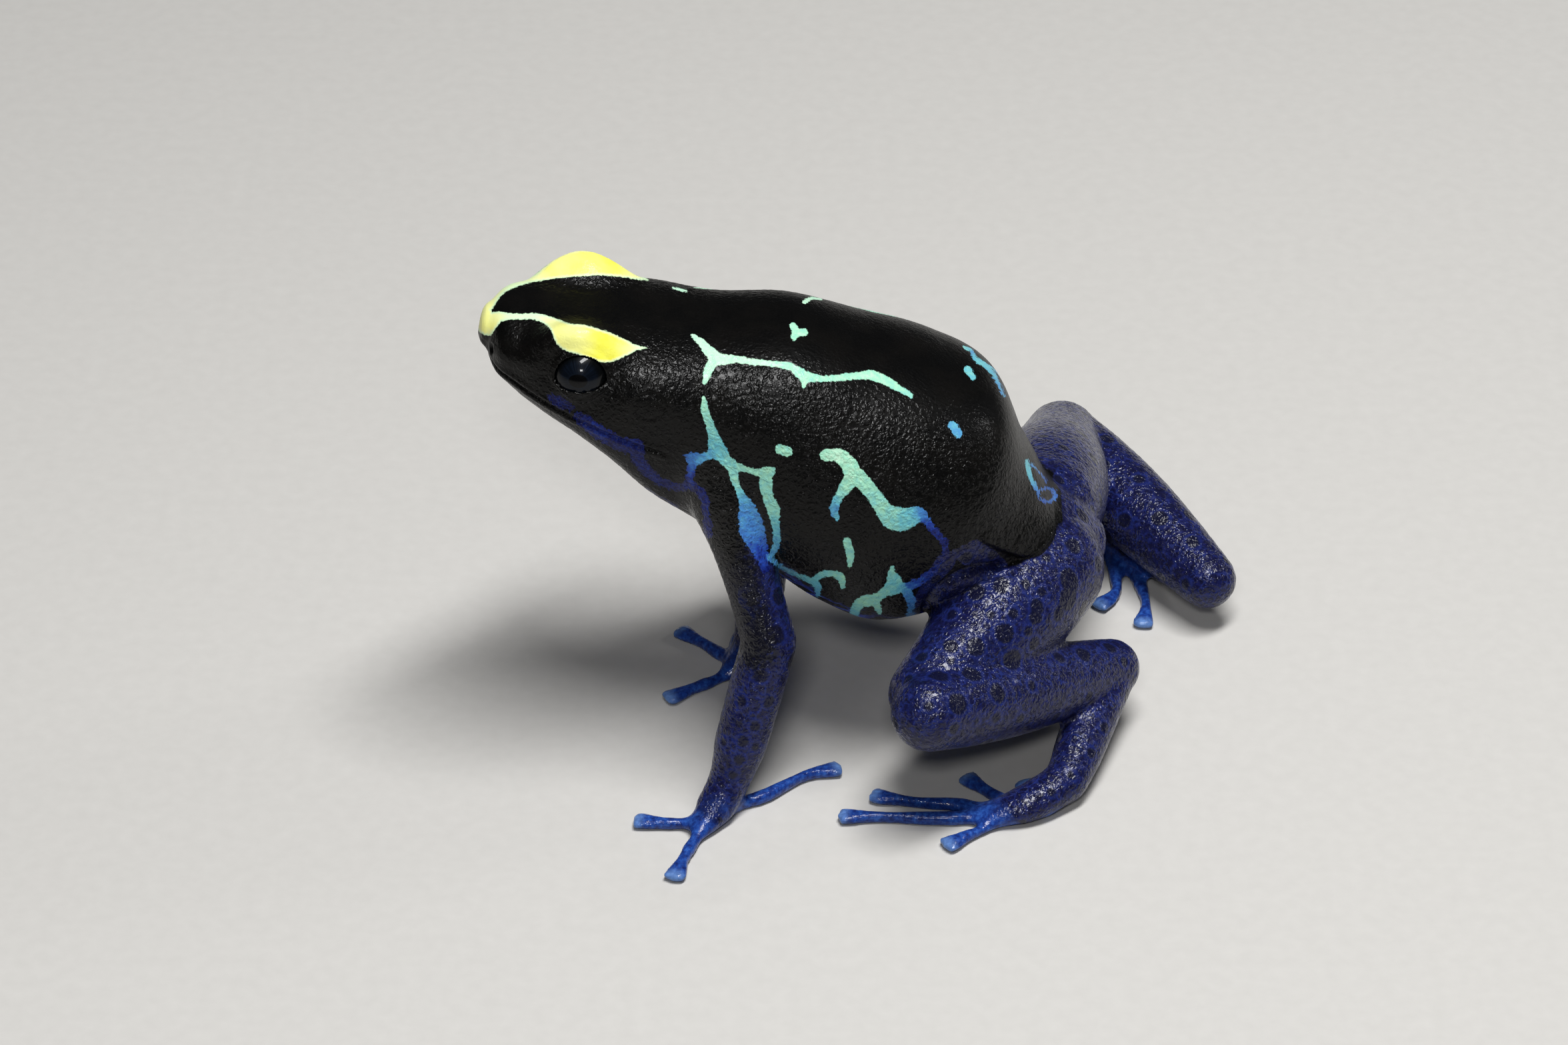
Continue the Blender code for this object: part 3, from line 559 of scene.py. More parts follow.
LINES = [
    # The line along the back, with its fork at the neck.
    [
        (1039, 503, 2.5, 0.0),
        (1052, 514, 6, 0.0),
        (1064, 528, 8, 0.0),
        (1077, 538, 10, 0.0),
        (1100, 539, 6, 0.0),
        (1124, 542, 5, 0.0),
        (1157, 546, 4.5, 0.05),
        (1187, 551, 6, 0.1),
        (1207, 564, 8, 0.12),
        (1228, 568, 5, 0.12),
        (1257, 567, 5, 0.1),
        (1286, 564, 5.5, 0.1),
        (1307, 563, 7.5, 0.1),
        (1328, 571, 7, 0.1),
        (1348, 582, 5, 0.15),
        (1367, 594, 3.5, 0.2),
    ],
    [(1207, 564, 8, 0.05), (1206, 579, 3.5, 0.1)],
    [(1071, 541, 8, 0.0), (1062, 557, 6.5, 0.05), (1057, 573, 4, 0.1)],
    # The line down over the shoulder, and its branches to throat, arm and flank.
    [
        (1055, 597, 3, 0.1),
        (1057, 615, 6, 0.15),
        (1064, 636, 6, 0.2),
        (1071, 657, 9, 0.3),
        (1076, 673, 12, 0.35),
        (1085, 686, 10, 0.3),
        (1099, 700, 9, 0.2),
    ],
    [(1074, 678, 10, 0.4), (1056, 686, 6, 0.5), (1041, 690, 10, 0.62), (1031, 684, 4, 0.7)],
    [(1039, 697, 6, 0.7), (1035, 720, 5, 0.85), (1046, 732, 4, 0.9), (1054, 752, 4, 0.9), (1058, 775, 4, 0.92)],
    [
        (1099, 700, 9, 0.2),
        (1101, 716, 6, 0.2),
        (1107, 732, 5, 0.25),
        (1113, 746, 6, 0.42),
        (1120, 760, 11, 0.54),
        (1124, 776, 16, 0.58),
        (1128, 796, 18, 0.62),
        (1135, 814, 15, 0.72),
        (1142, 832, 11, 0.8),
        (1147, 852, 7, 0.88),
    ],
    [(1106, 700, 6, 0.15), (1122, 705, 4, 0.15), (1138, 709, 6, 0.15), (1152, 709, 9, 0.15), (1160, 704, 3, 0.15)],
    [
        (1150, 710, 9, 0.15),
        (1149, 727, 10, 0.2),
        (1152, 745, 8, 0.2),
        (1160, 765, 10, 0.2),
        (1162, 782, 7, 0.3),
        (1164, 798, 6, 0.4),
        (1165, 813, 6, 0.45),
        (1160, 827, 5, 0.5),
        (1155, 838, 5, 0.55),
    ],
    [(1143, 791, 4, 0.6), (1145, 814, 3.5, 0.65), (1151, 840, 4, 0.6)],
    # The edge of the belly.
    [
        (1155, 838, 4, 0.55),
        (1174, 852, 3.5, 0.5),
        (1195, 863, 3.5, 0.4),
        (1216, 871, 5, 0.35),
        (1226, 878, 6, 0.4),
        (1227, 892, 4, 0.5),
    ],
    [(1220, 872, 5, 0.35), (1232, 862, 5, 0.3), (1249, 861, 5, 0.25), (1261, 865, 6.5, 0.2), (1264, 880, 3.5, 0.2)],
    [(1338, 852, 3, 0.2), (1338, 864, 7.5, 0.25), (1342, 877, 13, 0.3), (1326, 889, 7, 0.25), (1311, 900, 9, 0.2)],
    [(1311, 900, 9, 0.2), (1290, 905, 8, 0.2), (1282, 918, 7, 0.35), (1284, 930, 5, 0.5)],
    [(1313, 902, 7, 0.2), (1319, 918, 4, 0.25)],
    [(1345, 880, 11, 0.35), (1357, 884, 8, 0.5), (1365, 898, 7, 0.6), (1367, 914, 6, 0.6), (1363, 932, 7, 0.55)],
    [(1363, 932, 7, 0.6), (1345, 939, 4, 0.6), (1325, 937, 3, 0.7)],
    # The curved mark on the flank, which runs into the blue of the groin.
    [(1239, 683, 9, 0.1), (1257, 683, 10, 0.05), (1273, 697, 12, 0.1), (1282, 715, 14, 0.1)],
    [(1278, 716, 12, 0.1), (1268, 732, 9, 0.15), (1257, 748, 6.5, 0.3), (1251, 763, 7, 0.5), (1256, 778, 3.5, 0.4)],
    [
        (1282, 712, 13, 0.1),
        (1298, 727, 12, 0.15),
        (1313, 746, 11, 0.2),
        (1326, 765, 13, 0.2),
        (1344, 779, 18, 0.25),
        (1362, 777, 16, 0.35),
        (1381, 771, 9, 0.6),
        (1394, 786, 6.5, 0.8),
        (1408, 804, 6, 0.88),
        (1419, 815, 6, 0.92),
    ],
    [(1419, 815, 6, 0.92), (1414, 840, 4.5, 0.9), (1398, 858, 6, 0.88), (1381, 872, 6, 0.8), (1362, 880, 6, 0.7)],
    # Single spots.
    [(1170, 674, 7.5, 0.15), (1181, 678, 7.5, 0.15)],
    [(1189, 489, 5, 0.1), (1194, 498, 6, 0.1), (1191, 506, 5, 0.1)],
    [(1194, 498, 6, 0.1), (1206, 499, 6, 0.1)],
    [(1270, 812, 6, 0.2), (1275, 829, 6.5, 0.2), (1275, 850, 3, 0.2)],
    [(1429, 638, 6.5, 0.45), (1437, 651, 7, 0.5)],
    # Marks by the hip.
    [(1452, 555, 6, 0.3), (1460, 567, 4, 0.35)],
    [
        (1458, 528, 2.5, 0.5),
        (1466, 541, 4, 0.35),
        (1477, 547, 4, 0.35),
        (1489, 560, 3.5, 0.4),
        (1499, 578, 2.5, 0.5),
        (1506, 595, 1.5, 0.5),
    ],
    [(1540, 692, 3, 0.35), (1543, 707, 3.5, 0.35), (1549, 723, 3.5, 0.45), (1556, 734, 3, 0.6)],
    [
        (1557, 739, 2, 0.65),
        (1562, 749, 2, 0.72),
        (1572, 753, 2.5, 0.72),
        (1582, 747, 3.5, 0.68),
        (1581, 738, 2.5, 0.7),
        (1570, 732, 2, 0.7),
        (1557, 737, 2, 0.65),
    ],
    [(1544, 692, 1.5, 0.5), (1558, 707, 0.8, 0.6), (1570, 723, 1, 0.7)],
]
FAR_MARKS = [
    [(1010, 432, 2, 0.0), (1029, 436.5, 2, 0.0)],
    [(1207, 453, 3.5, 0.0), (1216, 448, 2.5, 0.0), (1232, 449, 1.5, 0.0)],
]
JAW = [
    [(828, 597, 6, 0.97), (841, 604, 9, 0.97), (855, 612, 6, 1.0)],
    [
        (866, 624, 7, 0.95),
        (880, 635, 10, 0.92),
        (900, 649, 11, 0.91),
        (915, 658, 11, 0.92),
        (935, 667, 11, 0.94),
        (955, 673, 13, 0.92),
        (956, 686, 11, 0.94),
        (962, 696, 9, 0.93),
        (972, 708, 8, 0.92),
        (988, 721, 7, 0.93),
        (1006, 728, 6, 0.95),
        (1022, 731, 6, 0.95),
        (1038, 727, 7, 0.92),
    ],
    [(1038, 727, 6, 0.92), (1051, 738, 6, 0.91), (1058, 752, 6, 0.91), (1060, 775, 6, 0.92), (1062, 800, 8, 0.93)],
    [(1058, 830, 9, 0.95), (1066, 862, 8, 0.95), (1076, 890, 7, 0.96)],
]
NO_TWIN = (1189, 1194, 1540, 1544, 1557)  # the marks that begin here, on the back and by the hip, have no twin
TWIN_SHIFT = 42  # pixels that the twins of the flank's marks lie further down the far side


def brushed(spots, strokes):
    """How far inside a stroke each spot lies, in millimetres, and the stroke's tone there."""
    depth, tone = np.full(len(spots), -3.0), np.zeros(len(spots))
    for stroke in strokes:
        table = np.array(stroke, float)
        knots = np.concatenate([[0], np.cumsum(np.linalg.norm(np.diff(table[:, :2], axis=0), axis=1))])
        at = np.linspace(0, knots[-1], 4 * (len(table) - 1) + 1)
        path = spline(knots, table, at)
        margin = table[:, 2].max() + 70
        low, high = table[:, :2].min(axis=0) - margin, table[:, :2].max(axis=0) + margin
        near = np.flatnonzero(((spots > low) & (spots < high)).all(axis=1))
        for start, end in zip(path, path[1:]):
            way = end[:2] - start[:2]
            share = np.clip((spots[near] - start[:2]) @ way / (way @ way), 0, 1)
            here = start + share[:, None] * (end - start)
            inside = (here[:, 2] - np.linalg.norm(spots[near] - here[:, :2], axis=1)) / PIXELS_PER_MM
            deeper = inside > depth[near]
            depth[near[deeper]] = inside[deeper]
            tone[near[deeper]] = here[deeper, 3]
    return depth, tone


def facing(directions):
    return directions @ -forward > 0.02


flip = np.array([1, -1, 1])
off_spine = points[:, 1] - spine_drift(points[:, 0])
twin_points = points * (1, 0, 1) + np.outer(spine_drift(points[:, 0]) - off_spine, (0, 1, 0))

yellow, yellow_tone = brushed(seen(points), YELLOW)
hidden = ~facing(out)
for depth_or_tone, twin in zip((yellow, yellow_tone), brushed(seen(points * flip), YELLOW)):
    depth_or_tone[hidden] = twin[hidden]
yellow[(hidden & ~facing(out * flip)) | (points[:, 0] > -10)] = -3

near_depth, near_tone = brushed(seen(points), LINES + JAW + FAR_MARKS)
near_depth[~facing(out) | (off_spine > 9)] = -3
twins = [stroke for stroke in LINES if stroke[0][0] not in NO_TWIN]
far_depth, far_tone = brushed(seen(twin_points) - (0, TWIN_SHIFT), twins)
jaw_depth, jaw_tone = brushed(seen(twin_points), JAW)
far_depth, far_tone = np.where(jaw_depth > far_depth, (jaw_depth, jaw_tone), (far_depth, far_tone))
far_depth[~facing(out * flip) | (off_spine < 2)] = -3
lines = np.maximum(near_depth, far_depth)
line_tone = np.where(near_depth > far_depth, near_tone, far_tone)


# Where the limbs' blue begins
# The trunk is black. Arms turn blue from the elbow down and legs from the groin, digits are brighter,
# and the very ends of their discs carry a pale painted highlight. Over the groin the black flank hangs as a fold, and
# the thigh has a rim.
HIP_FLAP = [
    [(1492, 792, 30, 0), (1522, 804, 30, 0), (1545, 812, 27, 0), (1562, 800, 21, 0), (1566, 775, 16, 0)],
]
HIP_EDGE = ((1440, 872), (1470, 856), (1500, 847), (1545, 841), (1585, 822))  # the hanging fold's lower edge
THIGH_RIM = [[(1400, 904, 11, 0), (1425, 888, 13, 0), (1455, 872, 14, 0), (1485, 863, 13, 0), (1520, 858, 9, 0)]]
THIGH_CREASE = [[(1388, 916, 0, 0), (1404, 890, 0, 0), (1430, 871, 0, 0), (1460, 857, 0, 0), (1497, 850, 0, 0)]]
CREASE_DEPTH, CREASE_WIDTH = 0.55, 0.3
GROIN = [
    [(1418, 812, 10, 0), (1442, 822, 20, 0), (1472, 836, 22, 0), (1500, 848, 12, 0)],
    [(1420, 840, 16, 0), (1402, 866, 14, 0), (1388, 890, 13, 0), (1378, 916, 14, 0), (1372, 938, 8, 0)],
    [(1598, 745, 8, 0), (1612, 778, 20, 0), (1620, 806, 28, 0), (1612, 840, 28, 0), (1590, 856, 18, 0)],
    [(1596, 716, 18, 0), (1628, 740, 26, 0), (1660, 780, 34, 0), (1670, 840, 50, 0)],
]
FLAP_HEIGHT, RIM_HEIGHT, FOLD_EDGE = 0.42, 0.34, 0.35


def smooth(values, low, high):
    """0 below the low end, 1 above the high end, and an even slope between."""
    t = np.clip((values - low) / (high - low), 0, 1)
    return t * t * (3 - 2 * t)


left_hip, left_knee, left_heel, left_ankle = LEG[LEFT]
by_hip = (from_line(points, left_hip, THIGH_END[LEFT]) < 8.5) & facing(out) & (off_spine < 0)
strokes_by_hip = (HIP_FLAP, THIGH_RIM, GROIN, THIGH_CREASE)
flap, rim, groin, crease = (brushed(seen(points), strokes)[0] for strokes in strokes_by_hip)
flap[~by_hip] = -3
crease[~by_hip] = -3
rim[~by_hip] = -3
groin[~by_hip & (points[:, 0] < 13)] = -3
far_groin = brushed(seen(twin_points), GROIN)[0]
far_groin[(off_spine < 0) | (points[:, 0] < 6)] = -3
groin = np.maximum(groin, far_groin)
view = seen(points)
above_edge = (np.interp(view[:, 0], *np.transpose(HIP_EDGE)) - view[:, 1]) / PIXELS_PER_MM
hip_rise = FLAP_HEIGHT * smooth(flap, 0, FOLD_EDGE) * (1 - smooth(above_edge, 0.6, 3.2))
hip_rise += RIM_HEIGHT * smooth(rim, 0, FOLD_EDGE) * (1 - smooth(-above_edge, 0.5, 1.6)) * (flap < 0.05)
hip_rise -= CREASE_DEPTH * ridge(crease, CREASE_WIDTH)

trunk_points, trunk_faces = sheet_of(body)
trunk_tree = BVHTree.FromPolygons([tuple(point) for point in trunk_points], trunk_faces)
from_trunk = np.array([trunk_tree.find_nearest(point)[3] for point in points])
limb = np.zeros(len(points))
digit = np.zeros(len(points))
for side in (LEFT, RIGHT):
    shoulder, elbow, wrist = ARM[side]
    hip, knee, heel, ankle = LEG[side]
    upper = 1 - fade(np.linalg.norm(points - shoulder, axis=1) - 3.5, 11)
    on_arm = fade(from_line(points, shoulder, elbow) - 2.2, 2.6)
    limb = np.maximum(limb, on_arm * (0.15 + 0.75 * upper) * np.clip(from_trunk / 1.2, 0, 1))
    for start, end, reach in ((elbow, wrist, 2.2), (hip, knee, 4.4), (knee, heel, 3.2), (heel, ankle, 2.6)):
        limb = np.maximum(limb, fade(from_line(points, start, end) - reach, 2.4) * np.clip(from_trunk / 0.8, 0, 1))
    for pad in (PALM[side], SOLE[side]):
        limb = np.maximum(limb, fade(from_line(points, *pad[1:]) - 1.8, 2))
    for root, plans in ((PALM[side][1], FINGERS[side]), (SOLE[side][1], TOES[side])):
        for plan in plans:
            path = [(*place, DIGIT_HEIGHT) for place in plan]
            for start, end in zip(path, path[1:]):
                digit = np.maximum(digit, fade(from_line(points, start, end) - 0.7, 0.7))
    # The outer finger's blue runs on over the hand.
    outer_root, outer_bend = ((*place, 1.0) for place in FINGERS[side][3][:2])
    digit = np.maximum(digit, 0.8 * fade(from_line(points, outer_root, outer_bend) - 0.6, 0.9))
limb = np.maximum(limb, digit)
limb = np.maximum(limb, smooth(np.maximum(groin, rim), -0.1, 0.3) * 0.9)
limb *= 1 - smooth(flap, -0.05, 0.15)

dark = np.zeros(len(points))
for side in (LEFT, RIGHT):
    shoulder, elbow, wrist = ARM[side]
    front = np.clip(0.75 - 0.9 * out[:, 0], 0, 1)
    dark = np.maximum(dark, fade(from_line(points, shoulder, elbow) - 2.2, 2.0) * front)
    dark *= 1 - fade(np.linalg.norm(points - wrist, axis=1) - 6, 5)
# The ends of the discs, where a pale painted highlight goes.
tip_highlight = np.zeros(len(points))
for middle, way in digit_tips:
    ahead = (points - middle) @ way
    tip_highlight = np.maximum(tip_highlight, fade(np.linalg.norm(points - middle, axis=1), 1.9) * np.clip(0.1 + 0.9 * ahead, 0, 1))

# The round dark spots of the limbs. Those on the near side lie where the photograph shows them,
# each by its place and radius there in pixels, and the rest are strewn evenly between them.
SPOTS = [
    (1462, 886, 15), (1505, 877, 14), (1542, 873, 9), (1567, 884, 7), (1608, 870, 19), (1606, 900, 19),
    (1559, 912, 12), (1557, 926, 12), (1592, 924, 12), (1509, 948, 15), (1490, 920, 8), (1524, 918, 8),
    (1546, 948, 8), (1467, 969, 15), (1422, 966, 11), (1424, 920, 9), (1428, 988, 7), (1378, 982, 9),
    (1410, 1010, 16), (1460, 1008, 15), (1522, 990, 17), (1554, 968, 10), (1591, 983, 11), (1628, 978, 14),
    (1668, 968, 12), (1690, 990, 9), (1440, 1052, 17), (1500, 1036, 15), (1552, 1026, 8), (1436, 1094, 9),
    (1468, 1082, 6), (1534, 1082, 9), (1498, 1080, 9), (1360, 1016, 9), (1390, 1056, 9), (1694, 1048, 11),
    (1450, 842, 14), (1408, 872, 10), (1382, 918, 11), (1122, 805, 11), (1139, 1017, 11), (1158, 1055, 9),
    (1136, 1092, 8), (1111, 1115, 9), (1136, 1123, 8), (1113, 1145, 8), (1097, 1166, 8), (1081, 1113, 6),
    (1109, 1055, 8), (1660, 1090, 9), (1640, 1130, 8), (1610, 1160, 8), (1656, 1160, 7), (1580, 1185, 7),
]  # fmt: skip
SPOT_GAP, SPOT_RADII, SPOT_TRIES = 2.3, (0.35, 0.7), 4000

dice = np.random.default_rng(11)
coloured = np.flatnonzero((limb > 0.5) & (digit < 0.2))
tree = KDTree(len(coloured))
for i, point in enumerate(points[coloured]):
    tree.insert(point, i)
tree.balance()
view, depth = seen(points[coloured]), points[coloured] @ forward
towards = facing(out[coloured])
centres, radii = [], []
for across, down, radius in SPOTS:
    near = np.flatnonzero((np.abs(view - (across, down)) < 4).all(axis=1) & towards)
    if len(near):
        centres.append(points[coloured[near[np.argmin(depth[near])]]])
        radii.append(radius / PIXELS_PER_MM)
chains = [chain for side in (LEFT, RIGHT) for joints in (ARM[side], LEG[side]) for chain in zip(joints, joints[1:])]
for _ in range(SPOT_TRIES):
    start, end = chains[dice.integers(len(chains))]
    thrown = np.array(start) + dice.random() * (np.array(end) - start) + dice.normal(size=3) * 2.5
    landed, _, away = tree.find(thrown)
    if away < 3 and np.linalg.norm(np.array(centres) - landed, axis=1).min() > SPOT_GAP:
        centres.append(np.array(landed))
        radii.append(dice.uniform(*SPOT_RADII))
spot = np.full(len(points), -2.0)
for centre, radius in zip(centres, radii):
    close = coloured[(np.abs(points[coloured] - centre) < radius + 0.5).all(axis=1)]
    spot[close] = np.maximum(spot[close], radius - np.linalg.norm(points[close] - centre, axis=1))


# Granules and wrinkles
# Fine granules cover flanks and limbs and fade out on snout and back. Short wrinkles cross the hips
# and the bends of the limbs. All of this stands in the sheet; only what is finer is left to the material.
GRANULE, GRANULE_HEIGHT = 0.45, 0.028
WRINKLE, WRINKLE_LENGTH = 0.75, 2.4  # from groove to groove, and along one
WRINKLED = [
    # middle, reach, the way that the grooves cross, depth
    ((8.0, -6.5, 16.0), 8.5, (0.85, 0.0, -0.5), 0.06),
    ((8.0, 8.0, 16.0), 8.5, (0.85, 0.0, -0.5), 0.06),
    ((-2.0, -9.0, 24.0), 7.0, (0.9, 0.0, -0.4), 0.025),
    ((-2.0, 9.0, 24.0), 7.0, (0.9, 0.0, -0.4), 0.025),
]
for side in (LEFT, RIGHT):
    for joints, reaches in ((ARM[side], (4.5, 3.6, 2.4)), (LEG[side], (3.0, 4.6, 3.2, 2.6))):
        for i, reach in enumerate(reaches):
            start, end = joints[max(i - 1, 0)], joints[min(i + 1, len(joints) - 1)]
            WRINKLED.append((joints[i], reach, np.subtract(end, start), 0.045))

spine_height = np.interp(points[:, 0], table_x, table_z)
turn = np.degrees(np.arctan2(np.abs(off_spine), points[:, 2] - spine_height))
grain = 0.25 + 0.75 * (1 - fade(turn - 15, 35))
grain *= 1 - 0.6 * fade(points[:, 0] + 25, 6)
grain = np.maximum(grain, limb * 0.85) * (1 - 0.7 * digit)
grain *= 1 - 0.8 * smooth(yellow, -0.1, 0.2)
belly = 1 - fade(turn - np.where(points[:, 0] < -8, 142, 128), 25)

nearest_grain = np.array([noise.voronoi(Vector(point))[0][0] for point in points / GRANULE])
relief = (0.5 - np.clip(nearest_grain / 0.8, 0, 1) ** 2) * GRANULE_HEIGHT * np.minimum(grain, 1)
for middle, reach, way, depth in WRINKLED:
    way = unit(way)
    share = fade(np.linalg.norm(points - middle, axis=1), reach)
    close = np.flatnonzero(share > 0.01)
    stretched = points[close] / WRINKLE_LENGTH
    stretched += np.outer(points[close] @ way, way) * (1 / WRINKLE - 1 / WRINKLE_LENGTH)
    groove = np.array([ridge(noise.noise(Vector(point)), 0.13) for point in stretched])
    relief[close] -= depth * share[close] * groove
points += out * (relief * (1 - digit) + hip_rise)[:, None]
sheet.vertices.foreach_set("co", points.ravel())
sheet.update()

for name, values in (
    ("yellow", yellow),
    ("yellow_tone", yellow_tone),
    ("lines", lines),
    ("line_tone", line_tone),
    ("limb", limb),
    ("dark", dark),
    ("spot", spot),
    ("digit", digit),
    ("tip_highlight", tip_highlight),
    ("grain", grain),
    ("belly", belly * (1 - limb)),
):
    sheet.attributes.new(name, "FLOAT", "POINT").data.foreach_set("value", values.astype(np.float32))


# Moist skin
# A frog's skin is black pigment under a clear, wet surface of fine granules, which sparkle where they
# catch the light. Yellow and blue lie in it without an edge to feel. Scales are real sizes in millimetres.
FINE_GRANULE, POCK, BLOTCH, SPECK = 0.3, 0.12, 1.1, 0.38
RETICULE, NET_SPACING = 0.62, 3.0


def hex_colour(code):
    """A colour written as sRGB hex, turned linear."""
    channels = [int(code[i : i + 2], 16) / 255 for i in (1, 3, 5)]
    return (*(c / 12.92 if c < 0.04045 else ((c + 0.055) / 1.055) ** 2.4 for c in channels), 1)


def new_material(name):
    made = bpy.data.materials.new(name)
    made.use_nodes = True
    return made, made.node_tree.nodes, made.node_tree.links


def add(kind, inputs=(), out=0, stops=(), **settings):
    """Adds a node to the material under way. Its inputs are values or links, and its stops are a ramp's."""
    node = nodes.new("ShaderNode" + kind)
    for name, value in settings.items():
        setattr(node, name, value)
    for i, (place, code) in enumerate(stops):
        if i > 1:
            node.color_ramp.elements.new(place)
        node.color_ramp.elements[i].position = place
        node.color_ramp.elements[i].color = hex_colour(code)
    for socket, value in dict(inputs).items():
        if isinstance(value, bpy.types.NodeSocket):
            links.new(value, node.inputs[socket])
        else:
            node.inputs[socket].default_value = value
    return node.outputs[out]


wet_skin, nodes, links = new_material("moist granular skin")
SMOOTH = dict(interpolation_type="SMOOTHSTEP")
TIMES = dict(operation="MULTIPLY")
millimetres = add("VectorMath", {0: add("TexCoord", out="Object"), "Scale": 1 / MM}, operation="SCALE")
cloud = add("TexNoise", {"Vector": millimetres, "Scale": 0.45, "Detail": 4})
speck = add("TexNoise", {"Vector": millimetres, "Scale": 1 / SPECK, "Detail": 3, "Roughness": 0.6})
blotch = add("TexNoise", {"Vector": millimetres, "Scale": 1 / BLOTCH, "Detail": 2})
fringe = add("TexNoise", {"Vector": millimetres, "Scale": 5, "Detail": 2})
ragged = add("MapRange", {0: fringe, 1: 0.25, 2: 0.75, 3: -0.05, 4: 0.05})
limb_here = add("Attribute", attribute_name="limb", out="Fac")
line_tone_here = add("Attribute", attribute_name="line_tone", out="Fac")

# Black ground, a little browner in patches.
brown = add("MapRange", {0: cloud, 1: 0.35, 2: 0.7}, **SMOOTH)
black = add("MixRGB", {0: brown, 1: hex_colour("#030303"), 2: hex_colour("#080706")})

# The limbs' blue: navy with a paler net of fine lines, and round dark spots with soft edges.
bending = add("TexNoise", {"Vector": millimetres, "Scale": 1.4}, out=1)
bent = add("VectorMath", {0: millimetres, 1: bending}, operation="ADD")
navy = add("ValToRGB", {0: speck}, stops=((0.3, "#0b0c26"), (0.5, "#111338"), (0.62, "#171b4c"), (0.75, "#222c6a")))
fine_net = add("TexVoronoi", {"Vector": bent, "Scale": 1 / RETICULE}, feature="DISTANCE_TO_EDGE")
fine_net = add("MapRange", {0: fine_net, 1: 0.0, 2: 0.14, 3: 0.6, 4: 0}, **SMOOTH)
fine_net = add("Math", {0: fine_net, 1: add("MapRange", {0: blotch, 1: 0.35, 2: 0.65})}, **TIMES)
blue = add("MixRGB", {0: fine_net, 1: navy, 2: hex_colour("#233276")})
spot_here = add("Attribute", attribute_name="spot", out="Fac")
spot_depth = add("Math", {0: spot_here, 1: add("MapRange", {0: blotch, 1: 0.3, 2: 0.7, 3: -0.1, 4: 0.1})})
spot_depth = add("Math", {0: spot_depth, 1: ragged})
halo = add("MapRange", {0: spot_depth, 1: -0.35, 2: -0.1, 3: 0, 4: 0.4}, **SMOOTH)
blue = add("MixRGB", {0: halo, 1: blue, 2: hex_colour("#1d2b70")})
in_spot = add("MapRange", {0: spot_depth, 1: -0.12, 2: 0.14, 3: 0, 4: 0.85}, **SMOOTH)
dark_here = add("Attribute", attribute_name="dark", out="Fac")
clouded = add("Math", {0: dark_here, 1: add("MapRange", {0: speck, 1: 0.3, 2: 0.7, 3: -0.3, 4: 0.3})})
clouded = add("MapRange", {0: clouded, 1: 0.25, 2: 0.7, 3: 0, 4: 0.95}, **SMOOTH)
blue = add("MixRGB", {0: clouded, 1: blue, 2: hex_colour("#0b0b12")})

# Brighter digits, with a pale painted highlight at the very end of their discs.
bright = add("ValToRGB", {0: speck}, stops=((0.3, "#14225e"), (0.5, "#1d3c88"), (0.7, "#305bac")))
digit_here = add("Attribute", attribute_name="digit", out="Fac")
blue = add("MixRGB", {0: digit_here, 1: blue, 2: bright})
tip_highlight_here = add("Attribute", attribute_name="tip_highlight", out="Fac")
tip_highlight_colour = add("MixRGB", {0: speck, 1: hex_colour("#4775c0"), 2: hex_colour("#9cc4ec")})
blue = add("MixRGB", {0: tip_highlight_here, 1: blue, 2: tip_highlight_colour})
limb_edge = add("Math", {0: limb_here, 1: ragged})
limb_edge = add("Math", {0: limb_edge, 1: add("MapRange", {0: blotch, 1: 0.3, 2: 0.7, 3: -0.12, 4: 0.12})})
limb_edge = add("MapRange", {0: limb_edge, 1: 0.22, 2: 0.5}, **SMOOTH)
skin_colour = add("MixRGB", {0: limb_edge, 1: black, 2: blue})

# The belly's network, which the species has.
net = add("TexVoronoi", {"Vector": bent, "Scale": 1 / NET_SPACING}, feature="DISTANCE_TO_EDGE")
net = add("MapRange", {0: net, 1: 0.05, 2: 0.09, 3: 1, 4: 0}, **SMOOTH)
net = add("Math", {0: net, 1: add("Attribute", attribute_name="belly", out="Fac")}, **TIMES)
net_colour = add("ValToRGB", {0: speck}, stops=((0.3, "#171c78"), (0.6, "#2c4fd0"), (0.75, "#4f8ce0")))
skin_colour = add("MixRGB", {0: net, 1: skin_colour, 2: net_colour})

# The lines, pale at the spine and bluer towards limbs and belly. The darkest are blotched and ragged.
rough_edge = add("MapRange", {0: line_tone_here, 1: 0.1, 2: 0.95, 3: 0.25, 4: 0.8}, **SMOOTH)
rough_edge = add("Math", {0: rough_edge, 1: add("Math", {0: speck, 1: 0.5}, operation="SUBTRACT")}, **TIMES)
line_depth = add("Math", {0: add("Attribute", attribute_name="lines", out="Fac"), 1: ragged})
line_depth = add("Math", {0: line_depth, 1: rough_edge})
tone = add("Math", {0: line_tone_here, 1: add("MapRange", {0: speck, 1: 0.3, 2: 0.7, 3: -0.08, 4: 0.08})})
line_colour = add(
    "ValToRGB",
    {0: tone},
    stops=(
        (0.0, "#bee6ca"),
        (0.12, "#9cdabc"),
        (0.35, "#6abcc8"),
        (0.6, "#4482c4"),
        (0.8, "#213f9c"),
        (0.92, "#0c1150"),
        (1.0, "#0a0d3c"),
    ),
)
curl = add("TexVoronoi", {"Vector": bent, "Scale": 2.2}, feature="DISTANCE_TO_EDGE")
curl = add("MapRange", {0: curl, 1: 0.02, 2: 0.12, 3: 0.6, 4: 0}, **SMOOTH)
deepest = add("MapRange", {0: line_tone_here, 1: 0.8, 2: 0.92}, **SMOOTH)
curl = add("Math", {0: curl, 1: deepest}, **TIMES)
line_colour = add("MixRGB", {0: curl, 1: line_colour, 2: hex_colour("#182a78")})
small = add("TexVoronoi", {"Vector": bent, "Scale": 1.7, "Randomness": 0.9})
fleck = add("MapRange", {0: small, 1: 0.12, 2: 0.22, 3: 1, 4: 0}, **SMOOTH)
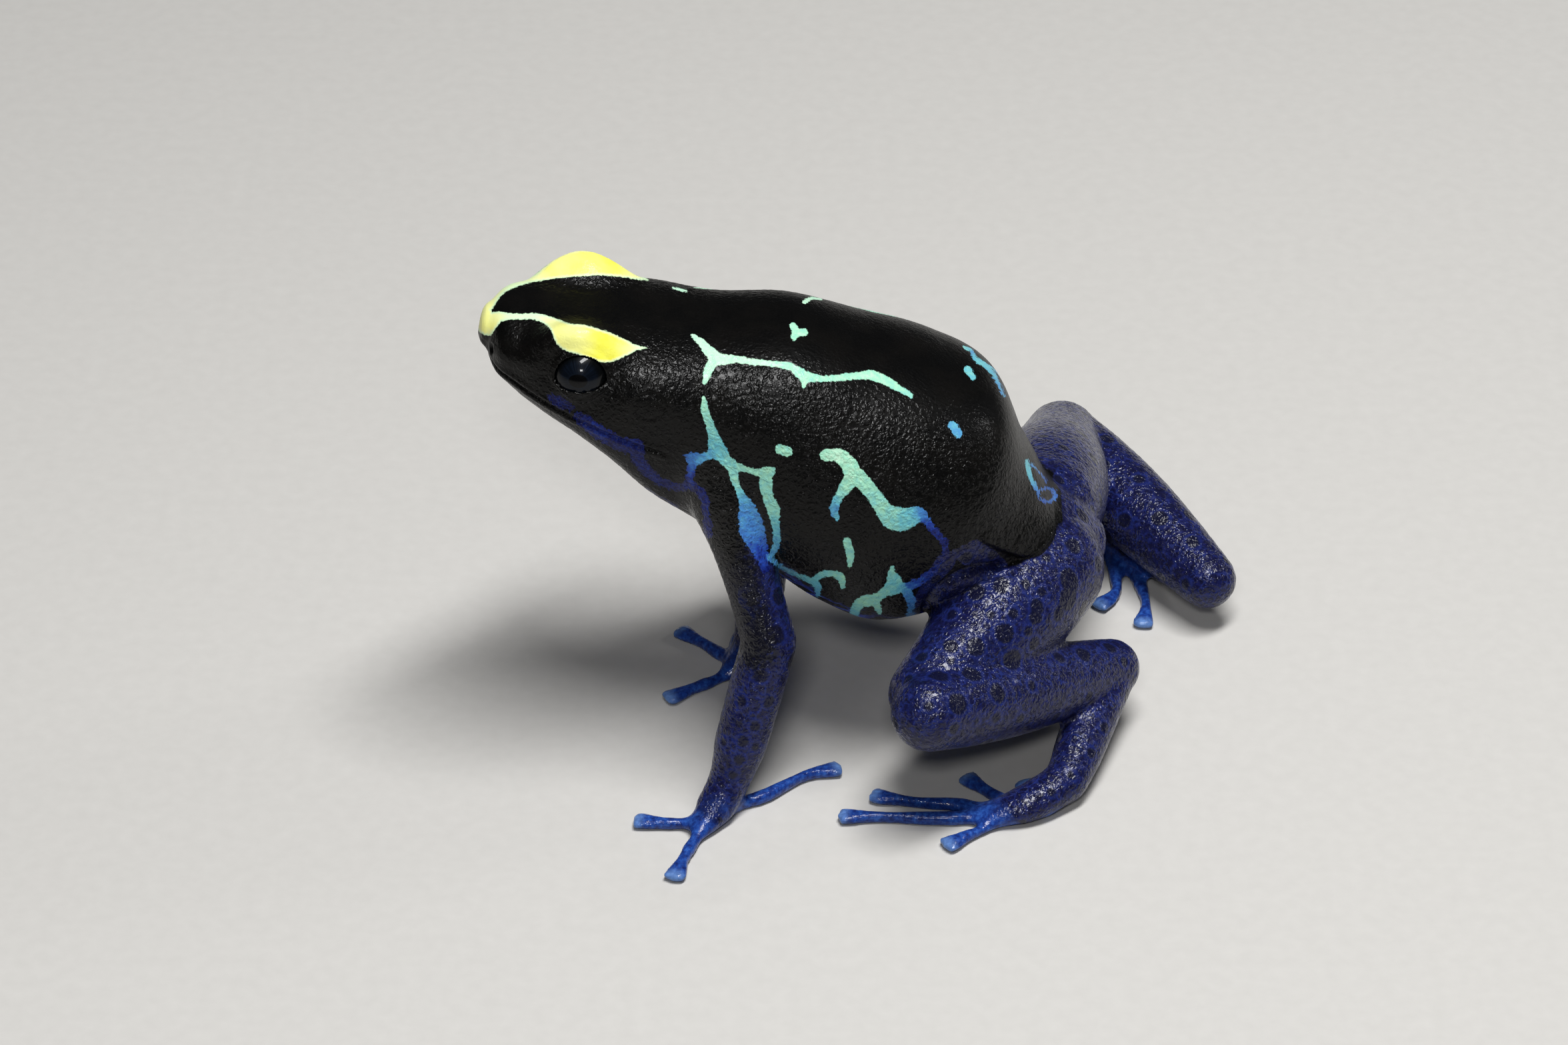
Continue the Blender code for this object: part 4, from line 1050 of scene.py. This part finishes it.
flecked = add("MapRange", {0: line_tone_here, 1: 0.3, 2: 0.8, 3: 0, 4: 0.8}, **SMOOTH)
fleck = add("Math", {0: fleck, 1: flecked}, **TIMES)
line_colour = add("MixRGB", {0: fleck, 1: line_colour, 2: hex_colour("#121a50")})
in_line = add("MapRange", {0: line_depth, 1: -0.03, 2: 0.05}, **SMOOTH)
skin_colour = add("MixRGB", {0: in_line, 1: skin_colour, 2: line_colour})
skin_colour = add("MixRGB", {0: in_spot, 1: skin_colour, 2: hex_colour("#0c0b17")})

# Yellow, greenish white along its edge and creamy in patches.
yellow_depth = add("Math", {0: add("Attribute", attribute_name="yellow", out="Fac"), 1: ragged})
deep = add("MapRange", {0: yellow_depth, 1: 0, 2: 0.25, 3: 0.1, 4: 1}, **SMOOTH)
full = add("Attribute", attribute_name="yellow_tone", out="Fac")
full = add("MapRange", {0: full, 1: 0, 2: 1, 3: 0.1, 4: 1})
ripe = add("Math", {0: deep, 1: full}, **TIMES)
ripe = add("Math", {0: ripe, 1: add("MapRange", {0: cloud, 1: 0.3, 2: 0.7, 3: 0.85, 4: 1.1})}, **TIMES)
yellow_colour = add(
    "ValToRGB", {0: ripe}, stops=((0.0, "#c8ecc4"), (0.35, "#ecf2ae"), (0.7, "#f4f38e"), (1.0, "#f2ef4a"))
)
in_yellow = add("MapRange", {0: yellow_depth, 1: -0.03, 2: 0.05}, **SMOOTH)
skin_colour = add("MixRGB", {0: in_yellow, 1: skin_colour, 2: yellow_colour})

# Relief finer than the sheet: small granules, and the pocks between them.
grain_here = add("Attribute", attribute_name="grain", out="Fac")
curling = add("TexNoise", {"Vector": millimetres, "Scale": 2.2}, out=1)
curling = add("VectorMath", {0: curling, "Scale": 0.7}, operation="SCALE")
curled = add("VectorMath", {0: millimetres, 1: curling}, operation="ADD")
granules = add("TexVoronoi", {"Vector": curled, "Scale": 1 / FINE_GRANULE})
rounded = add("MapRange", {0: granules, 1: 0.1, 2: 0.75, 3: 1, 4: 0}, **SMOOTH)
pocks = add("TexNoise", {"Vector": millimetres, "Scale": 1 / POCK, "Detail": 2})
height = add("Math", {0: rounded, 1: grain_here}, **TIMES)
height = add("Math", {0: height, 1: add("Math", {0: pocks, 1: 0.2}, **TIMES)})
bumps = add("Bump", {"Strength": 1.0, "Distance": 0.04 * MM, "Height": height})

surface = nodes["Principled BSDF"]
links.new(skin_colour, surface.inputs["Base Color"])
# Limbs are wetter than the trunk.
wet = add("Math", {0: limb_here, 1: dark_here}, operation="MAXIMUM")
rough = add("MapRange", {0: pocks, 1: 0.3, 2: 0.7, 3: 0.36, 4: 0.5})
rough = add("Math", {0: rough, 1: add("MapRange", {0: wet, 3: 0, 4: 0.08})}, operation="SUBTRACT")
links.new(rough, surface.inputs["Roughness"])
links.new(add("MapRange", {0: wet, 3: 0.24, 4: 0.62}), surface.inputs["Coat Weight"])
links.new(bumps, surface.inputs["Normal"])
links.new(bumps, surface.inputs["Coat Normal"])
surface.inputs["IOR"].default_value = 1.38
surface.inputs["Specular IOR Level"].default_value = 0.14
surface.inputs["Coat Roughness"].default_value = 0.13
surface.inputs["Coat IOR"].default_value = 1.4

sheet.materials.append(wet_skin)
skin.data.transform(to_frame)
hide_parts(*[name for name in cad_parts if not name.startswith("eye")])
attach(skin, "root")


# Eyes
# Each is a wet, glossy ball that looks outward and a little up. The iris is almost as dark as the
# pupil, which lies in it as a level oval, and a clear cornea covers both.
EYE_LOOK = (-0.10, 0.96, 0.26)
PUPIL, IRIS = (0.62, 0.46), 1.32  # half widths and radius on the ball, in millimetres
EYE_SIDES, EYE_RINGS = 96, 64

glass_eye, nodes, links = new_material("wet dark eyeball")
gaze = add("Attribute", attribute_name="gaze", out="Vector")
flat = add("VectorMath", {0: gaze, 1: (1, 1, 0)}, operation="MULTIPLY")
from_middle = add("VectorMath", {0: flat}, operation="LENGTH", out="Value")
oval = add("VectorMath", {0: flat, 1: (1 / PUPIL[0], 1 / PUPIL[1], 0)}, operation="MULTIPLY")
oval = add("VectorMath", {0: oval}, operation="LENGTH", out="Value")
rays = add("VectorMath", {0: flat}, operation="NORMALIZE")
rays = add("TexNoise", {"Vector": rays, "Scale": 14, "Detail": 3})
iris = add("ValToRGB", {0: rays}, stops=((0.3, "#030509"), (0.55, "#070d17"), (0.75, "#0d1622")))
outer = add("MapRange", {0: from_middle, 1: IRIS - 0.2, 2: IRIS + 0.15}, **SMOOTH)
iris = add("MixRGB", {0: outer, 1: iris, 2: hex_colour("#030405")})
lit_rim = add("MapRange", {0: oval, 1: 1.0, 2: 1.1}, **SMOOTH)
lit_rim = add("Math", {0: lit_rim, 1: add("MapRange", {0: oval, 1: 1.1, 2: 1.28, 3: 0.35, 4: 0}, **SMOOTH)}, **TIMES)
iris = add("MixRGB", {0: lit_rim, 1: iris, 2: hex_colour("#10161f")})
open_iris = add("MapRange", {0: oval, 1: 0.97, 2: 1.05}, **SMOOTH)
eye_colour = add("MixRGB", {0: open_iris, 1: hex_colour("#020203"), 2: iris})
ball_surface = nodes["Principled BSDF"]
links.new(eye_colour, ball_surface.inputs["Base Color"])
links.new(add("MapRange", {0: rays, 1: 0.3, 2: 0.7, 3: 0.25, 4: 0.4}), ball_surface.inputs["Roughness"])
ball_surface.inputs["IOR"].default_value = 1.15
ball_surface.inputs["Coat Weight"].default_value = 0.55
ball_surface.inputs["Coat Roughness"].default_value = 0.03
ball_surface.inputs["Coat IOR"].default_value = 1.38

for side, name in ((LEFT, "left"), (RIGHT, "right")):
    look = unit(np.array(EYE_LOOK) * (1, side, 1))
    top = unit(UP - look * (UP @ look))
    across = np.cross(top, look)
    rings = []
    for polar in np.linspace(0, math.pi, EYE_RINGS + 1)[1:-1]:
        turn = np.linspace(0, 2 * math.pi, EYE_SIDES, endpoint=False)
        around = np.outer(np.cos(turn), across) + np.outer(np.sin(turn), top)
        rings.append((look * math.cos(polar) + around * math.sin(polar)) * EYE_RADIUS)
    points, faces = sheet_of(rings)
    ball = mesh_from("eyeball_" + name, points, faces)
    for face in ball.polygons:
        face.use_smooth = True
    away = np.array(points)
    local = np.stack([away @ across, away @ top, away @ look], axis=1)
    ball.attributes.new("gaze", "FLOAT_VECTOR", "POINT").data.foreach_set("vector", local.ravel().astype(np.float32))
    ball.transform(to_frame @ Matrix.Translation(np.array(EYE_CENTRE) * (1, side, 1)))
    ball.materials.append(glass_eye)
    eyeball = bpy.data.objects.new("eyeball_" + name, ball)
    bpy.context.scene.collection.objects.link(eyeball)
    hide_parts("eye_" + name)
    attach(eyeball, "root")


# Floor and light
# A pale, plain studio floor. Soft lights hang above, in front on the left, and behind on the right,
# in a dim, even room.
pale, nodes, links = new_material("pale painted board")
grit = add("TexNoise", {"Vector": add("TexCoord", out="Object"), "Scale": 900, "Detail": 3})
board = add("MixRGB", {0: grit, 1: hex_colour("#c0beba"), 2: hex_colour("#c9c7c3")})
links.new(board, nodes["Principled BSDF"].inputs["Base Color"])
nodes["Principled BSDF"].inputs["Roughness"].default_value = 0.8
floor_mesh = mesh_from("floor", [(-2, -2, 0), (2, -2, 0), (2, 2, 0), (-2, 2, 0)], [(0, 1, 2, 3)])
floor_mesh.materials.append(pale)
floor = bpy.data.objects.new("floor", floor_mesh)
bpy.context.scene.collection.objects.link(floor)

world = bpy.data.worlds.new("room")
world.use_nodes = True
world.node_tree.nodes["Background"].inputs["Color"].default_value = hex_colour("#e8ecf2")
world.node_tree.nodes["Background"].inputs["Strength"].default_value = 0.05
bpy.context.scene.world = world
SOFTBOXES = {
    # place and size in metres, power in watts
    "key": ((0.05, -0.05, 0.42), (0.26, 0.08), 2.05),
    "fill": ((-0.02, -0.33, 0.30), (0.07, 0.05), 0.4),
    "rim": ((0.33, 0.11, 0.20), (0.06, 0.06), 0.12),
}
for name, (place, (width, depth), power) in SOFTBOXES.items():
    light = bpy.data.lights.new(name, "AREA")
    light.shape, light.energy = "RECTANGLE", power
    light.size, light.size_y = width, depth
    lamp = bpy.data.objects.new(name, light)
    lamp.location = place
    lamp.rotation_euler = (Vector(place) - Vector((0, 0, 0.015))).to_track_quat("Z", "Y").to_euler()
    bpy.context.scene.collection.objects.link(lamp)
bpy.context.scene.view_settings.view_transform = "Standard"
